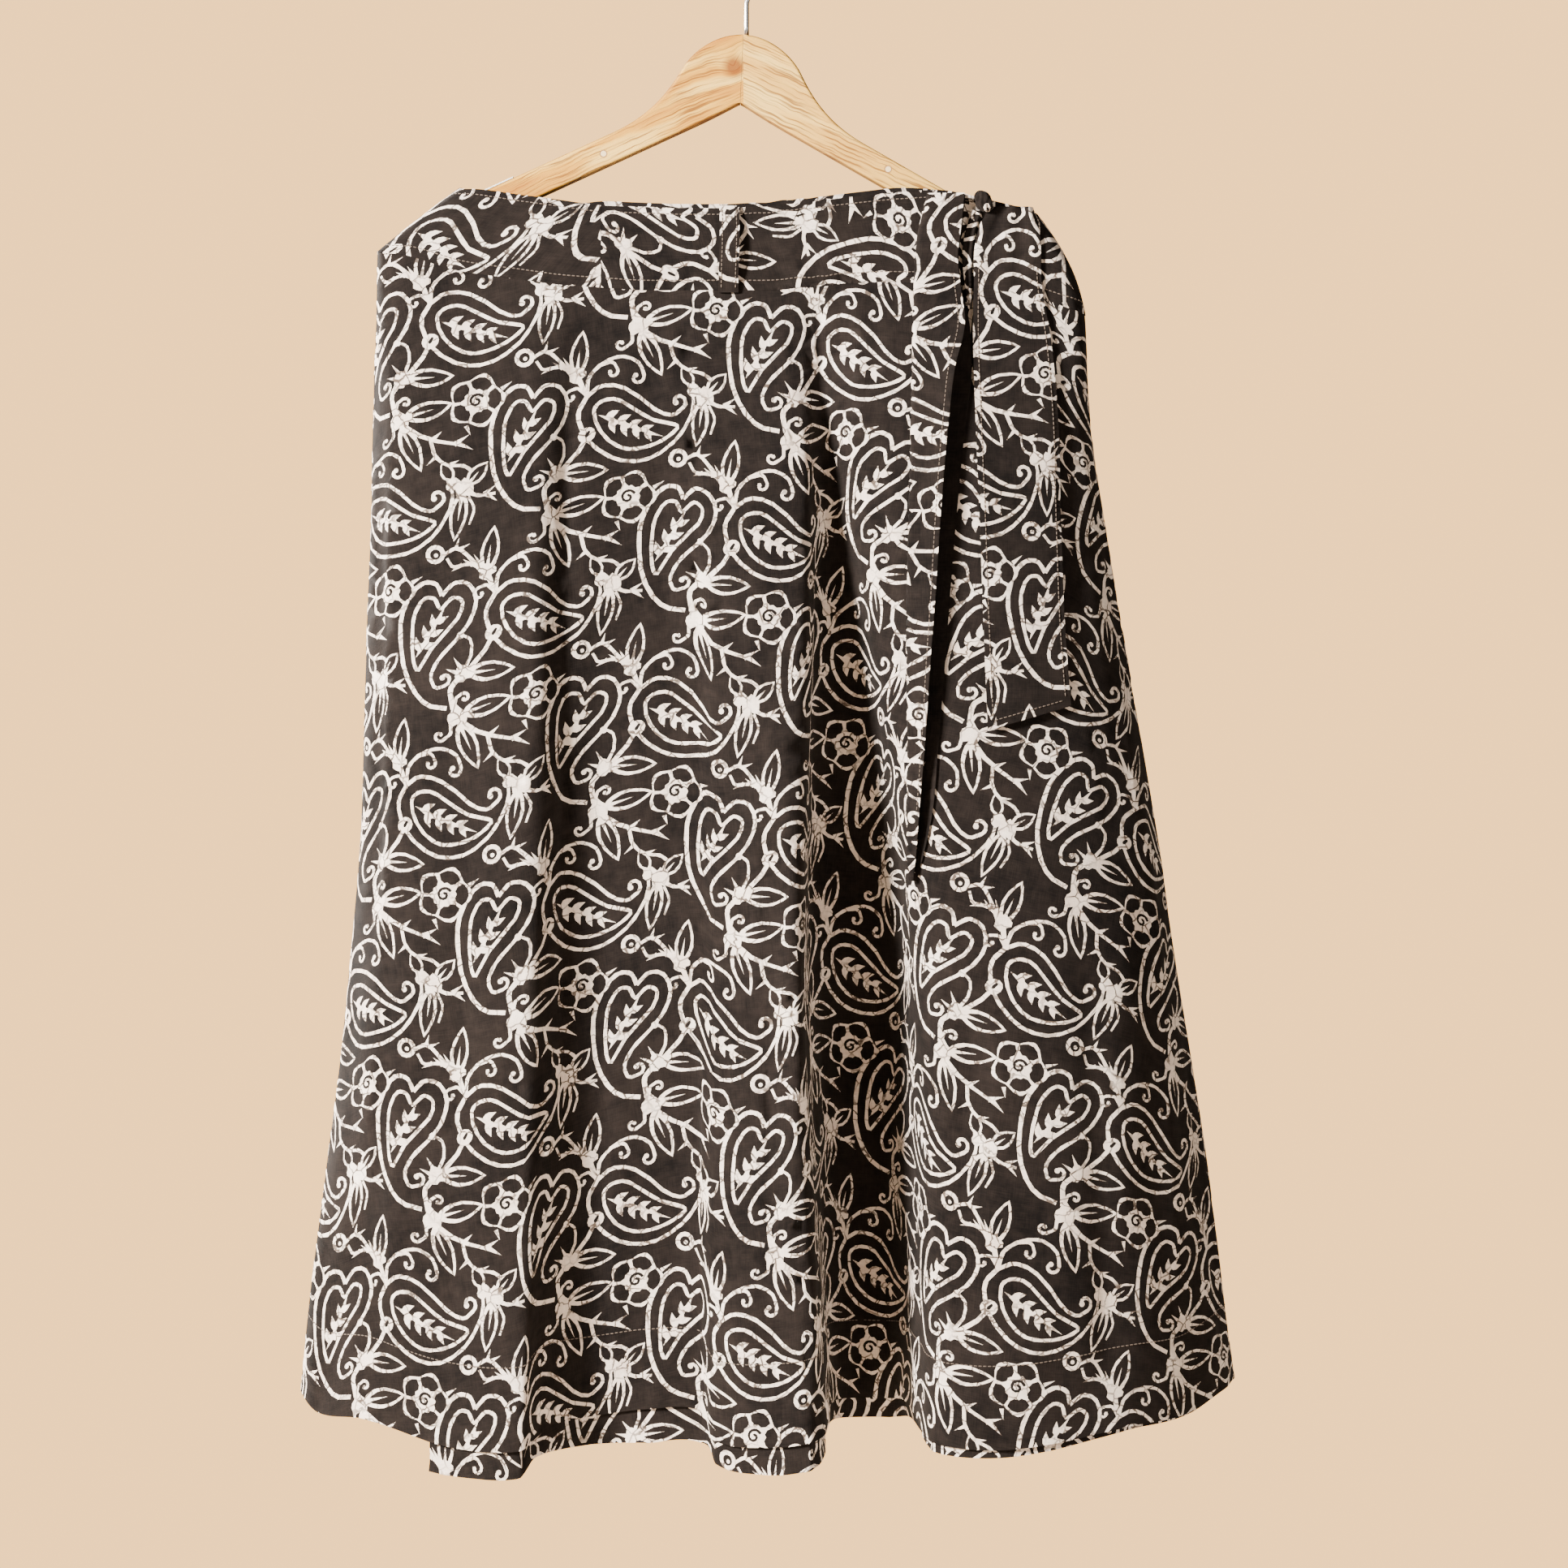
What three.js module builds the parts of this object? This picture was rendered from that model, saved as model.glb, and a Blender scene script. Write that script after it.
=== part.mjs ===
// A cotton wrap skirt hanging on a wooden clothes hanger. Millimetres, +Z up, +X to the right as seen
// from the front, and the front faces -Y. The origin is the inside top of the hanger's hook, where a
// rail carries it.
import * as THREE from "three";

// ---- Driving sizes ------------------------------------------------------------------------------------

// Cloth walls. A layer is [outer, inner]: how far its two faces lie outside the skirt's own surface.
const SEAM_GAP = 0.3;
const BAND_LAYER = [0.4, -1.9];
const UNDER_BAND_LAYER = [-2.8, -4.9];
const PANEL_LAYER = [0, -1.5];
const UNDER_PANEL_LAYER = [-3.2, -4.7];

// The levels of a panel, as shares of the way from the waistband's seam down to the hem.
const SEAM_LEVEL = 0;
const HIP_LEVEL = 0.148;
const KNEE_LEVEL = 0.558;
const HEM_LEVEL = 1;
const LEVELS = [SEAM_LEVEL, HIP_LEVEL, KNEE_LEVEL, HEM_LEVEL];

// The lines that run down the cloth from the waistband's top edge, in order round the skirt: along the
// front from the left side to the right side, then back behind. top, seam, hip, knee and hem are its
// [x, y] at the waistband's top edge, the waistband's seam and three levels of the panel. z holds the
// heights of the top edge, the seam and the hem. drop is how much lower the underlap hangs there, and
// puff is how far to the right the waistband bows.
const COLUMNS = ["name", "top", "seam", "hip", "knee", "hem", "z", "drop", "puff"];
const FRONT_LINES = [
  ["side_left", [-212, 0], [-273, 0], [-275, 2], [-290, 6], [-330, 10], [-187, -234, -1078], 24, -1],
  ["left_round", [-209, -8], [-268, -9], [-271, -9], [-283, -10], [-316, -8], [-189, -236, -1091], 24, -1],
  ["left_turn", [-196, -12], [-251, -13], [-259, -20], [-265, -29], [-278, -36], [-190, -238, -1091], 24, 0],
  ["left_face", [-167, -13], [-215, -14], [-218, -27], [-219, -47], [-219, -63], [-194, -249, -1105], 24, 0],
  ["ridge_1", [-137, -13], [-167, -14], [-163, -32], [-161, -58], [-162, -78], [-198, -256, -1106], 20, 0],
  ["ridge_1_flank", [-123, -13], [-137, -14], [-142, -28], [-143, -48], [-147, -62], [-200, -260, -1093], 20, 0],
  ["valley_1", [-107, -13], [-107, -14], [-115, -21], [-115, -28], [-112, -34], [-202, -262, -1089], 21, 0],
  ["valley_1_far", [-77, -13], [-79, -14], [-80, -20], [-76, -28], [-71, -36], [-203, -264, -1083], 25, 0],
  ["step_fold", [-51, -13], [-51, -14], [-41, -22], [-34, -34], [-34, -42], [-204, -264, -1083], 24, 0],
  ["step_crest", [-38, -13], [-38, -14], [-28, -25], [-22, -43], [-23, -58], [-204, -264, -1102], 18, 0],
  ["ridge_2_left", [-12, -13], [-3, -14], [12, -29], [12, -57], [15, -78], [-204, -264, -1104], 20, 0],
  ["ridge_2", [6, -13], [21, -14], [37, -30], [32, -63], [45, -84], [-203, -264, -1100], 20, 0],
  ["ridge_2_edge", [15, -13], [31, -14], [45, -27], [40, -57], [55, -75], [-203, -263, -1097], 20, 0],
  ["return_top", [21, -13], [39, -14], [49, -21], [44, -38], [59, -52], [-202, -262, -1090], 18, 0],
  ["return_low", [27, -13], [45, -14], [52, -13], [46, -12], [61, -18], [-201, -262, -1086], 16, 0],
  ["valley_2_left", [33, -13], [50, -14], [55, -8], [54, 8], [67, 14], [-201, -262, -1085], 15, 0],
  ["valley_2", [39, -13], [55, -14], [59, -6], [72, 22], [84, 34], [-200, -261, -1087], 15, 0],
  ["valley_2_right", [45, -13], [60, -14], [64, -9], [95, 20], [104, 32], [-200, -261, -1087], 15, 0],
  ["flank_3_low", [51, -13], [65, -14], [69, -15], [111, 0], [116, 8], [-199, -260, -1085], 12, 0],
  ["flank_3_top", [59, -13], [71, -14], [74, -21], [119, -26], [123, -28], [-198, -259, -1090], 10, 0],
  ["ridge_3_edge", [67, -13], [79, -14], [82, -28], [127, -48], [129, -58], [-197, -259, -1099], 8, 0],
  ["ridge_3", [84, -13], [99, -14], [102, -33], [141, -63], [144, -76], [-195, -258, -1103], 7, 0],
  ["ridge_3_mid", [114, -13], [137, -14], [142, -35], [176, -69], [184, -84], [-192, -259, -1104], 6, 0],
  ["ridge_3_far", [146, -13], [176, -14], [184, -32], [223, -67], [229, -80], [-191, -262, -1099], 5, 0],
  ["right_line", [179, -13], [212, -13], [224, -24], [268, -51], [278, -62], [-198, -268, -1091], 3, 0],
  ["right_turn", [204, -12], [234, -12], [245, -15], [296, -29], [321, -34], [-204, -276, -1087], 2, 5],
  ["right_round", [211, -8], [245, -8], [256, -8], [307, -9], [352, -8], [-206, -279, -1074], 2, 6],
  ["side_right", [215, 0], [250, 0], [260, 2], [313, 6], [364, 12], [-207, -281, -1069], 2, 6],
];
const BACK_LINES = [
  ["back_right_round", [211, 8], [246, 8], [257, 13], [309, 24], [357, 34], [-206, -279, -1068], 0, 6],
  ["back_right", [190, 12], [226, 13], [236, 25], [276, 45], [318, 60], [-200, -272, -1076], 0, 4],
  ["back_ridge_1", [150, 12], [174, 14], [178, 33], [204, 64], [232, 86], [-192, -262, -1086], 0, 0],
  ["back_valley_1", [106, 12], [120, 14], [120, 28], [136, 50], [150, 64], [-194, -259, -1088], 0, 0],
  ["back_ridge_2", [58, 12], [64, 14], [62, 34], [62, 68], [64, 90], [-198, -261, -1091], 0, 0],
  ["back_valley_2", [8, 12], [6, 14], [2, 30], [-4, 52], [-14, 66], [-202, -264, -1091], 0, 0],
  ["back_ridge_3", [-42, 12], [-52, 14], [-56, 33], [-68, 65], [-88, 88], [-203, -264, -1090], 0, 0],
  ["back_valley_3", [-90, 12], [-108, 14], [-114, 28], [-130, 47], [-152, 62], [-201, -262, -1088], 0, 0],
  ["back_ridge_4", [-140, 12], [-170, 14], [-178, 28], [-194, 54], [-222, 76], [-197, -256, -1087], 0, 0],
  ["back_left", [-184, 12], [-232, 13], [-240, 21], [-252, 36], [-286, 50], [-191, -242, -1083], 0, 0],
  ["back_left_round", [-208, 8], [-268, 8], [-272, 12], [-285, 20], [-322, 28], [-188, -236, -1080], 0, -1],
];
const LINES = [...FRONT_LINES, ...BACK_LINES].map((row) =>
  Object.fromEntries(COLUMNS.map((column, i) => [column, row[i]])),
);

// The underlap's free edge, as its place along the lines at the seam and at the hem.
const UNDERLAP_EDGE = { seam: 3.5, hem: 2.8, blend: 2.5 };
// The underlap's waistband shows above the front one between these two lines, by this much at most.
const UNDER_BAND_RISE = { from: "valley_1", to: "ridge_3_mid", height: 3.5 };
const UNDER_BAND_ENDS = { from: 3.5, to: 24.6 };

// The belt loop: a folded strip across the waistband, caught at both ends.
const LOOP = {
  left: -20,
  right: -5.5,
  above: 1.5,
  below: 2,
  clear: 0.8,
  lift: 3,
  thickness: 1.6,
  span: ["step_fold", "ridge_2"],
  rows: 8,
  columns: 3,
};

// The lines between which the ties lie.
const TIE_SPAN = ["ridge_3_edge", "right_round"];
// The two ties, which hang from a knot at the waistband's right. Heights z with the x of their edges.
const TIE_FLAT = {
  clear: 0.9,
  thickness: 1.8,
  rows: [
    { z: -203, left: 183, right: 211 },
    { z: -212, left: 174, right: 214 },
    { z: -226, left: 169, right: 216 },
    { z: -261, left: 167, right: 217 },
    { z: -297, left: 166, right: 223 },
    { z: -351, left: 167, right: 228 },
    { z: -441, left: 170, right: 230 },
    { z: -512, left: 172, right: 232 },
    { z: -571, left: 174, right: 236 },
  ],
  endDrop: 18, // how much lower the slanted end is at its left corner
  columns: 6,
  steps: 20,
};
const TIE_FOLDED = {
  clear: 0.9,
  spread: 5,
  thickness: 1.5,
  rows: [
    { z: -194, fold: 133, front: 160, back: 161 },
    { z: -223, fold: 126, front: 157, back: 158 },
    { z: -239, fold: 124, front: 155, back: 156 },
    { z: -262, fold: 123, front: 157, back: 158 },
    { z: -289, fold: 122, front: 160, back: 163.5 },
    { z: -325, fold: 121, front: 152, back: 165 },
    { z: -366, fold: 120, front: 147, back: 160 },
    { z: -434, fold: 118, front: 141, back: 153 },
    { z: -492, fold: 116.5, front: 137, back: 148 },
    { z: -542, fold: 116.5, front: 133, back: 144 },
    { z: -601, fold: 117, front: 129, back: 139 },
    { z: -650, fold: 117, front: 125, back: 134.5 },
    { z: -685, fold: 117, front: 122.5, back: 127 },
    { z: -698, fold: 118, front: 121, back: 123.5 },
  ],
  columns: 4,
  steps: 24,
  foldShare: 0.9, // the most of the front layer's width that the fold may take
  foldTurns: 3, // points round the fold
};
// The pleats that the flat tie is gathered into beside its knot, and the knot.
const TIE_GATHER = {
  clear: 2,
  thickness: 1,
  pleats: 1.5,
  depth: 0.6,
  rows: [
    { z: -206, left: 166, right: 173 },
    { z: -223, left: 160.5, right: 168.4 },
    { z: -239, left: 158.5, right: 166.6 },
    { z: -262, left: 160.5, right: 165.8 },
    { z: -279, left: 162.7, right: 165.4 },
  ],
  columns: 12,
  steps: 8,
};
const KNOT = {
  x: 176,
  z: -197.5,
  radii: [7.5, 5, 6.8],
  clear: 1,
  lobes: 5,
  lobeDepth: 0.1,
  lobeTwist: 2,
  around: 20,
  down: 10,
};

// The hanger: two flat arms that butt under the hook, each drawn in the arms' own plane, x outwards and
// z up from the top of the joint between them.
const HANGER = {
  x: -2.4,
  z: -74.4,
  tilt: THREE.MathUtils.degToRad(2.6),
  thickness: 11,
  bevel: 1.2,
  jointGap: 0.3,
};
const ARM = {
  head: { x: 20, z: 0 },
  shoulder: { x: 44, z: -27, arrive: { x: 37, z: -14 }, leave: { x: 52, z: -42 } },
  neck: { x: 92, z: -76, arrive: { x: 64, z: -61.5 } },
  slope: 0.515,
  depth: 23.4,
  tip: 231.5,
  tipRadius: 8,
  lowerNeck: 34,
  apex: -50.5,
};
const STRIP = { from: 165, to: 214, thickness: 1.2, width: 8, gap: 0.3 };
const HOOK = {
  rod: 3.4,
  inside: 19,
  foot: 0.4,
  straight: -52,
  start: -35,
  end: 196,
  sides: 10,
  steps: 26,
  bendSteps: 6,
};

// How finely the cloth is divided.
const ACROSS_STEP = 20;
const PANEL_ROWS = 12;
const BAND_ROWS = 3;
// How often a place on the front is halved to find the one at a given x.
const BISECTIONS = 24;
// How finely a plate's curves and its rounded edges are divided.
const CURVE_STEPS = 8;
const BEVEL_STEPS = 2;

// ---- Curves and surfaces ------------------------------------------------------------------------------

const add = (a, b, k = 1) => a.map((v, i) => v + k * b[i]);
const lerp = THREE.MathUtils.lerp;
const lineAt = (name) => LINES.findIndex((line) => line.name === name);

// A smooth curve through the points at the given knots, carried on straight past its ends.
function hermite(knots, points, at) {
  const last = knots.length - 1;
  const slope = (i) => {
    const [a, b] = [Math.max(i - 1, 0), Math.min(i + 1, last)];
    return add(points[b], points[a], -1).map((v) => v / (knots[b] - knots[a]));
  };
  if (at >= knots[last]) return add(points[last], slope(last), at - knots[last]);
  let i = 0;
  while (at > knots[i + 1]) i += 1;
  const span = knots[i + 1] - knots[i];
  const f = (at - knots[i]) / span;
  const [m0, m1] = [slope(i), slope(i + 1)];
  return points[i].map(
    (p, k) =>
      (1 + 2 * f) * (1 - f) ** 2 * p +
      f * (1 - f) ** 2 * span * m0[k] +
      f * f * (3 - 2 * f) * points[i + 1][k] +
      f * f * (f - 1) * span * m1[k],
  );
}

// The closed curve through a ring of points, each [x, y, z], at place t counted in points.
function ringCurve(ring, t) {
  const n = ring.length;
  const wrap = (i) => ((i % n) + n) % n;
  const start = Math.floor(t);
  const points = [-1, 0, 1, 2].map((k) => ring[wrap(start + k)]);
  const chord = (i) => Math.hypot(points[i + 1][0] - points[i][0], points[i + 1][1] - points[i][1]);
  const knots = [0, chord(0), chord(0) + chord(1), chord(0) + chord(1) + chord(2)];
  return hermite(knots, points, knots[1] + (t - start) * chord(1));
}

// The point of a line at level s of the panels.
function linePoint(line, s) {
  const [x, y] = hermite(LEVELS, [line.seam, line.hip, line.knee, line.hem], s);
  return [x, y, lerp(line.z[1], line.z[2], s)];
}
const panelRing = (s) => LINES.map((line) => linePoint(line, s));
// The ring of line points at share r of the way down the waistband.
const bandRing = (r) =>
  LINES.map(({ top, seam, z, puff }) => [
    lerp(top[0], seam[0], r) + 4 * r * (1 - r) * puff,
    lerp(top[1], seam[1], r),
    lerp(z[0], z[1] + SEAM_GAP, r),
  ]);

const NUDGE = 0.02;
// The level outward direction of a ring at t.
function outward(ring, t) {
  const [dx, dy] = add(ringCurve(ring, t + NUDGE), ringCurve(ring, t - NUDGE), -1);
  const size = Math.hypot(dx, dy);
  return [dy / size, -dx / size, 0];
}
const outFrom = (ring, t, distance) => add(ringCurve(ring, t), outward(ring, t), distance);
// How far t goes for one millimetre along the ring.
function perMillimetre(ring, t) {
  const [dx, dy] = add(ringCurve(ring, t + NUDGE), ringCurve(ring, t - NUDGE), -1);
  return (2 * NUDGE) / Math.hypot(dx, dy);
}

// The places t to divide the cloth at between two lines, closer where the lines are close.
function places(from, to) {
  const list = [from];
  const hem = panelRing(HEM_LEVEL);
  for (let i = Math.floor(from); i < to; i += 1) {
    const [a, b] = [Math.max(i, from), Math.min(i + 1, to)];
    const [p, q] = [ringCurve(hem, a), ringCurve(hem, b)];
    const count = Math.max(1, Math.round(Math.hypot(q[0] - p[0], q[1] - p[1]) / ACROSS_STEP));
    for (let k = 1; k <= count; k += 1) list.push(lerp(a, b, k / count));
  }
  return list;
}
const even = (count) => Array.from({ length: count + 1 }, (_, i) => i / count);

// ---- Meshes -------------------------------------------------------------------------------------------

// A wall of cloth from two grids of points, rows running down and columns across, seen from its outer face.
function wall(outer, inner) {
  const [rows, columns] = [outer.length, outer[0].length];
  const positions = [...outer.flat(), ...inner.flat()].flat();
  const at = (layer, j, i) => layer * rows * columns + j * columns + i;
  const index = [];
  const quad = (a, b, c, d) => index.push(a, b, c, a, c, d);
  for (let j = 0; j + 1 < rows; j += 1) {
    for (let i = 0; i + 1 < columns; i += 1) {
      quad(at(0, j, i), at(0, j + 1, i), at(0, j + 1, i + 1), at(0, j, i + 1));
      quad(at(1, j, i), at(1, j, i + 1), at(1, j + 1, i + 1), at(1, j + 1, i));
    }
    quad(at(0, j, 0), at(1, j, 0), at(1, j + 1, 0), at(0, j + 1, 0));
    const end = columns - 1;
    quad(at(0, j, end), at(0, j + 1, end), at(1, j + 1, end), at(1, j, end));
  }
  for (let i = 0; i + 1 < columns; i += 1) {
    quad(at(0, 0, i), at(0, 0, i + 1), at(1, 0, i + 1), at(1, 0, i));
    const low = rows - 1;
    quad(at(0, low, i), at(1, low, i), at(1, low, i + 1), at(0, low, i + 1));
  }
  const geometry = new THREE.BufferGeometry();
  geometry.setAttribute("position", new THREE.Float32BufferAttribute(positions, 3));
  geometry.setIndex(index);
  geometry.computeVertexNormals();
  return geometry;
}

// Cloth between places `from` and `to` of the rings, with the gap of a sewn seam left at the ends that
// are named.
function ringCloth({ rings, from, to, layer, sewn }) {
  const list = places(from, to);
  const grid = (distance) =>
    rings.map((ring) =>
      list.map((t, i) => {
        const trim = (SEAM_GAP / 2) * perMillimetre(ring, t);
        if (i === 0 && sewn.includes("from")) return outFrom(ring, t + trim, distance);
        if (i === list.length - 1 && sewn.includes("to")) return outFrom(ring, t - trim, distance);
        return outFrom(ring, t, distance);
      }),
    );
  return wall(grid(layer[0]), grid(layer[1]));
}

// ---- The skirt ----------------------------------------------------------------------------------------

const SIDE_LEFT = 0;
const SIDE_RIGHT = lineAt("side_right");
const BAND_JOIN = lineAt("valley_1");
const panelRings = even(PANEL_ROWS).map(panelRing);
const bandRings = even(BAND_ROWS).map(bandRing);

// The underlap's lowest ring, which hangs below the front's hem.
const underlapHem = LINES.map((line) => linePoint(line, HEM_LEVEL + line.drop / (line.z[1] - line.z[2])));

// The underlap, whose free edge slants from one place on the lines at the seam to another at the hem.
// Away from that edge it is divided at the same places as the front that it lies behind.
function underlap() {
  const rings = [...panelRings, underlapHem];
  const { seam, hem, blend } = UNDERLAP_EDGE;
  const list = places(seam, SIDE_RIGHT);
  const grid = (distance) =>
    rings.map((ring, j) => {
      const slant = (hem - seam) * Math.min(j / PANEL_ROWS, 1);
      return list.map((t, i) => {
        const trim = i === list.length - 1 ? (SEAM_GAP / 2) * perMillimetre(ring, t) : 0;
        return outFrom(ring, t - trim + slant * Math.max(0, 1 - (t - seam) / blend), distance);
      });
    });
  return wall(grid(UNDER_PANEL_LAYER[0]), grid(UNDER_PANEL_LAYER[1]));
}

// The underlap's waistband, whose top edge stands a little above the front one along part of its length.
function underBand() {
  const [first, last] = [lineAt(UNDER_BAND_RISE.from), lineAt(UNDER_BAND_RISE.to)];
  const raised = (i) => (i >= first && i <= last ? UNDER_BAND_RISE.height : 0);
  const rings = even(BAND_ROWS).map((r) =>
    bandRing(r).map(([x, y, z], i) => [x, y, z + (1 - r) * raised(i)]),
  );
  return ringCloth({ rings, ...UNDER_BAND_ENDS, layer: UNDER_BAND_LAYER, sewn: [] });
}

// The point at x and z, moved out from the front between two of its lines by a distance.
function onFront(x, z, distance, [from, to]) {
  const place = (t) => {
    const top = ringCurve(bandRing(0), t)[2];
    const seam = ringCurve(bandRing(1), t)[2];
    if (z >= seam) return ringCurve(bandRing(THREE.MathUtils.clamp((top - z) / (top - seam), 0, 1)), t);
    const hem = ringCurve(panelRing(HEM_LEVEL), t)[2];
    return ringCurve(panelRing((seam - z) / (seam - hem)), t);
  };
  let [low, high] = [lineAt(from), lineAt(to)];
  for (let k = 0; k < BISECTIONS; k += 1) {
    const middle = (low + high) / 2;
    if (place(middle)[0] < x) low = middle;
    else high = middle;
  }
  return [x, place(low)[1] - distance, z];
}

function beltLoop() {
  const { left, right, above, below, lift, thickness, clear, span } = LOOP;
  const [top, seam] = [0, 1].map((r) => bandRing(r)[lineAt("ridge_2_left")][2]);
  const grid = (distance) =>
    even(LOOP.rows).map((b) =>
      even(LOOP.columns).map((a) => {
        const rise = clear + (lift - clear) * Math.sin(Math.PI * b);
        return onFront(lerp(left, right, a), lerp(top + above, seam - below, b), rise + distance, span);
      }),
    );
  return wall(grid(thickness), grid(0));
}

// A row of a tie's table at height z: the x of each of its edges.
function tieRow(rows, z, ...edges) {
  const knots = rows.map((row) => -row.z);
  return hermite(knots, rows.map((row) => edges.map((edge) => row[edge])), -z);
}

function tieFlat() {
  const { rows, clear, thickness, endDrop, columns, steps } = TIE_FLAT;
  const [top, end] = [rows[0].z, rows.at(-1).z];
  const grid = (distance) =>
    even(steps).map((b) =>
      even(columns).map((a) => {
        const z = lerp(top, end - endDrop * (1 - a), b);
        const [left, right] = tieRow(rows, z, "left", "right");
        return onFront(lerp(left, right, a), z, clear + distance, TIE_SPAN);
      }),
    );
  return wall(grid(thickness), grid(0));
}

// A wall either side of a sheet of points, whose rows run down and whose columns run along its level section.
function thickened(sheet, thickness) {
  const face = (side) =>
    sheet.map((row) =>
      row.map((point, i) => {
        const [dx, dy] = add(row[Math.min(i + 1, row.length - 1)], row[Math.max(i - 1, 0)], -1);
        const size = Math.hypot(dx, dy);
        return add(point, [dy / size, -dx / size, 0], (side * thickness) / 2);
      }),
    );
  return wall(face(1), face(-1));
}

// The other tie, folded lengthwise: its section runs from the back layer's edge, round the fold at the
// left, to the front layer's edge.
function tieFolded() {
  const { rows, clear, spread, thickness, columns, steps, foldShare, foldTurns } = TIE_FOLDED;
  const [top, end] = [rows[0].z, rows.at(-1).z];
  const layer = even(columns);
  const turn = even(foldTurns + 1)
    .slice(1, -1)
    .map((share) => share * Math.PI);
  const sheet = even(steps).map((b) => {
    const z = lerp(top, end, b);
    const [fold, front, back] = tieRow(rows, z, "fold", "front", "back");
    const near = clear + thickness / 2;
    const radius = Math.min(spread, (front - fold) * foldShare) / 2;
    return [
      ...layer.map((a) => onFront(lerp(back, fold + radius, a), z, near, TIE_SPAN)),
      ...turn.map((angle) => {
        const x = fold + radius * (1 - Math.sin(angle));
        return onFront(x, z, near + radius * (1 - Math.cos(angle)), TIE_SPAN);
      }),
      ...layer.map((a) => onFront(lerp(fold + radius, front, a), z, near + 2 * radius, TIE_SPAN)),
    ];
  });
  return thickened(sheet, thickness);
}

function tieGather() {
  const { rows, clear, thickness, pleats, depth, columns, steps } = TIE_GATHER;
  const [top, end] = [rows[0].z, rows.at(-1).z];
  const sheet = even(steps).map((b) => {
    const z = lerp(top, end, b);
    const [left, right] = tieRow(rows, z, "left", "right");
    return even(columns).map((a) => {
      const wave = depth * Math.sin(2 * Math.PI * pleats * a);
      return onFront(lerp(left, right, a), z, clear + wave, TIE_SPAN);
    });
  });
  return thickened(sheet, thickness);
}

function tieKnot() {
  const { x, z, radii, clear, lobes, lobeDepth, lobeTwist } = KNOT;
  const geometry = new THREE.SphereGeometry(1, KNOT.around, KNOT.down);
  geometry.rotateX(Math.PI / 2);
  const at = geometry.getAttribute("position");
  const [, y] = onFront(x, z, clear + radii[1], TIE_SPAN);
  for (let i = 0; i < at.count; i += 1) {
    const [px, py, pz] = [at.getX(i), at.getY(i), at.getZ(i)];
    const flat = Math.hypot(px, py);
    const angle = lobes * Math.atan2(py, px) + lobeTwist * pz;
    const swell = 1 - lobeDepth * flat * (1 + Math.cos(angle));
    at.setXYZ(i, x + radii[0] * swell * px, y + radii[1] * swell * py, z + radii[2] * pz);
  }
  return geometry;
}

// ---- The hanger ---------------------------------------------------------------------------------------

const armTop = (x) => ARM.neck.z - ARM.slope * (x - ARM.neck.x);

// A flat outline in the hanger's plane, extruded through `width` about its middle.
function plate(shape, width, bevel) {
  const geometry = new THREE.ExtrudeGeometry(shape, {
    depth: width - 2 * bevel,
    curveSegments: CURVE_STEPS,
    bevelEnabled: bevel > 0,
    bevelThickness: bevel,
    bevelSize: bevel,
    bevelOffset: -bevel,
    bevelSegments: BEVEL_STEPS,
  });
  return geometry.rotateX(Math.PI / 2).translate(0, width / 2 - bevel, 0);
}

function armPlate(side) {
  const { head, shoulder, neck, depth, tip, tipRadius, lowerNeck, apex } = ARM;
  const start = HANGER.jointGap / 2;
  const shape = new THREE.Shape();
  shape.moveTo(side * start, 0);
  const curveTo = (leave, arrive, end) =>
    shape.bezierCurveTo(side * leave.x, leave.z, side * arrive.x, arrive.z, side * end.x, end.z);
  curveTo(head, shoulder.arrive, shoulder);
  curveTo(shoulder.leave, neck.arrive, neck);
  shape.lineTo(side * (tip - tipRadius), armTop(tip - tipRadius));
  shape.quadraticCurveTo(side * tip, armTop(tip), side * tip, armTop(tip) - tipRadius);
  shape.lineTo(side * tip, armTop(tip) - depth + tipRadius);
  const inward = tip - tipRadius;
  shape.quadraticCurveTo(side * tip, armTop(tip) - depth, side * inward, armTop(inward) - depth);
  shape.lineTo(side * lowerNeck, armTop(lowerNeck) - depth);
  const half = lowerNeck / 2;
  shape.quadraticCurveTo(side * half, armTop(half) - depth, side * start, apex);
  shape.closePath();
  return plate(shape, HANGER.thickness, HANGER.bevel);
}

// The rubber strip along an arm's top edge, which stops a strap or waistband sliding off.
function stripPlate(side) {
  const { from, to, thickness, width, gap } = STRIP;
  const lift = gap * Math.hypot(1, ARM.slope);
  const shape = new THREE.Shape();
  shape.moveTo(side * from, armTop(from) + lift);
  shape.lineTo(side * to, armTop(to) + lift);
  shape.lineTo(side * to, armTop(to) + lift + thickness);
  shape.lineTo(side * from, armTop(from) + lift + thickness);
  shape.closePath();
  return plate(shape, width, 0);
}

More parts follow.
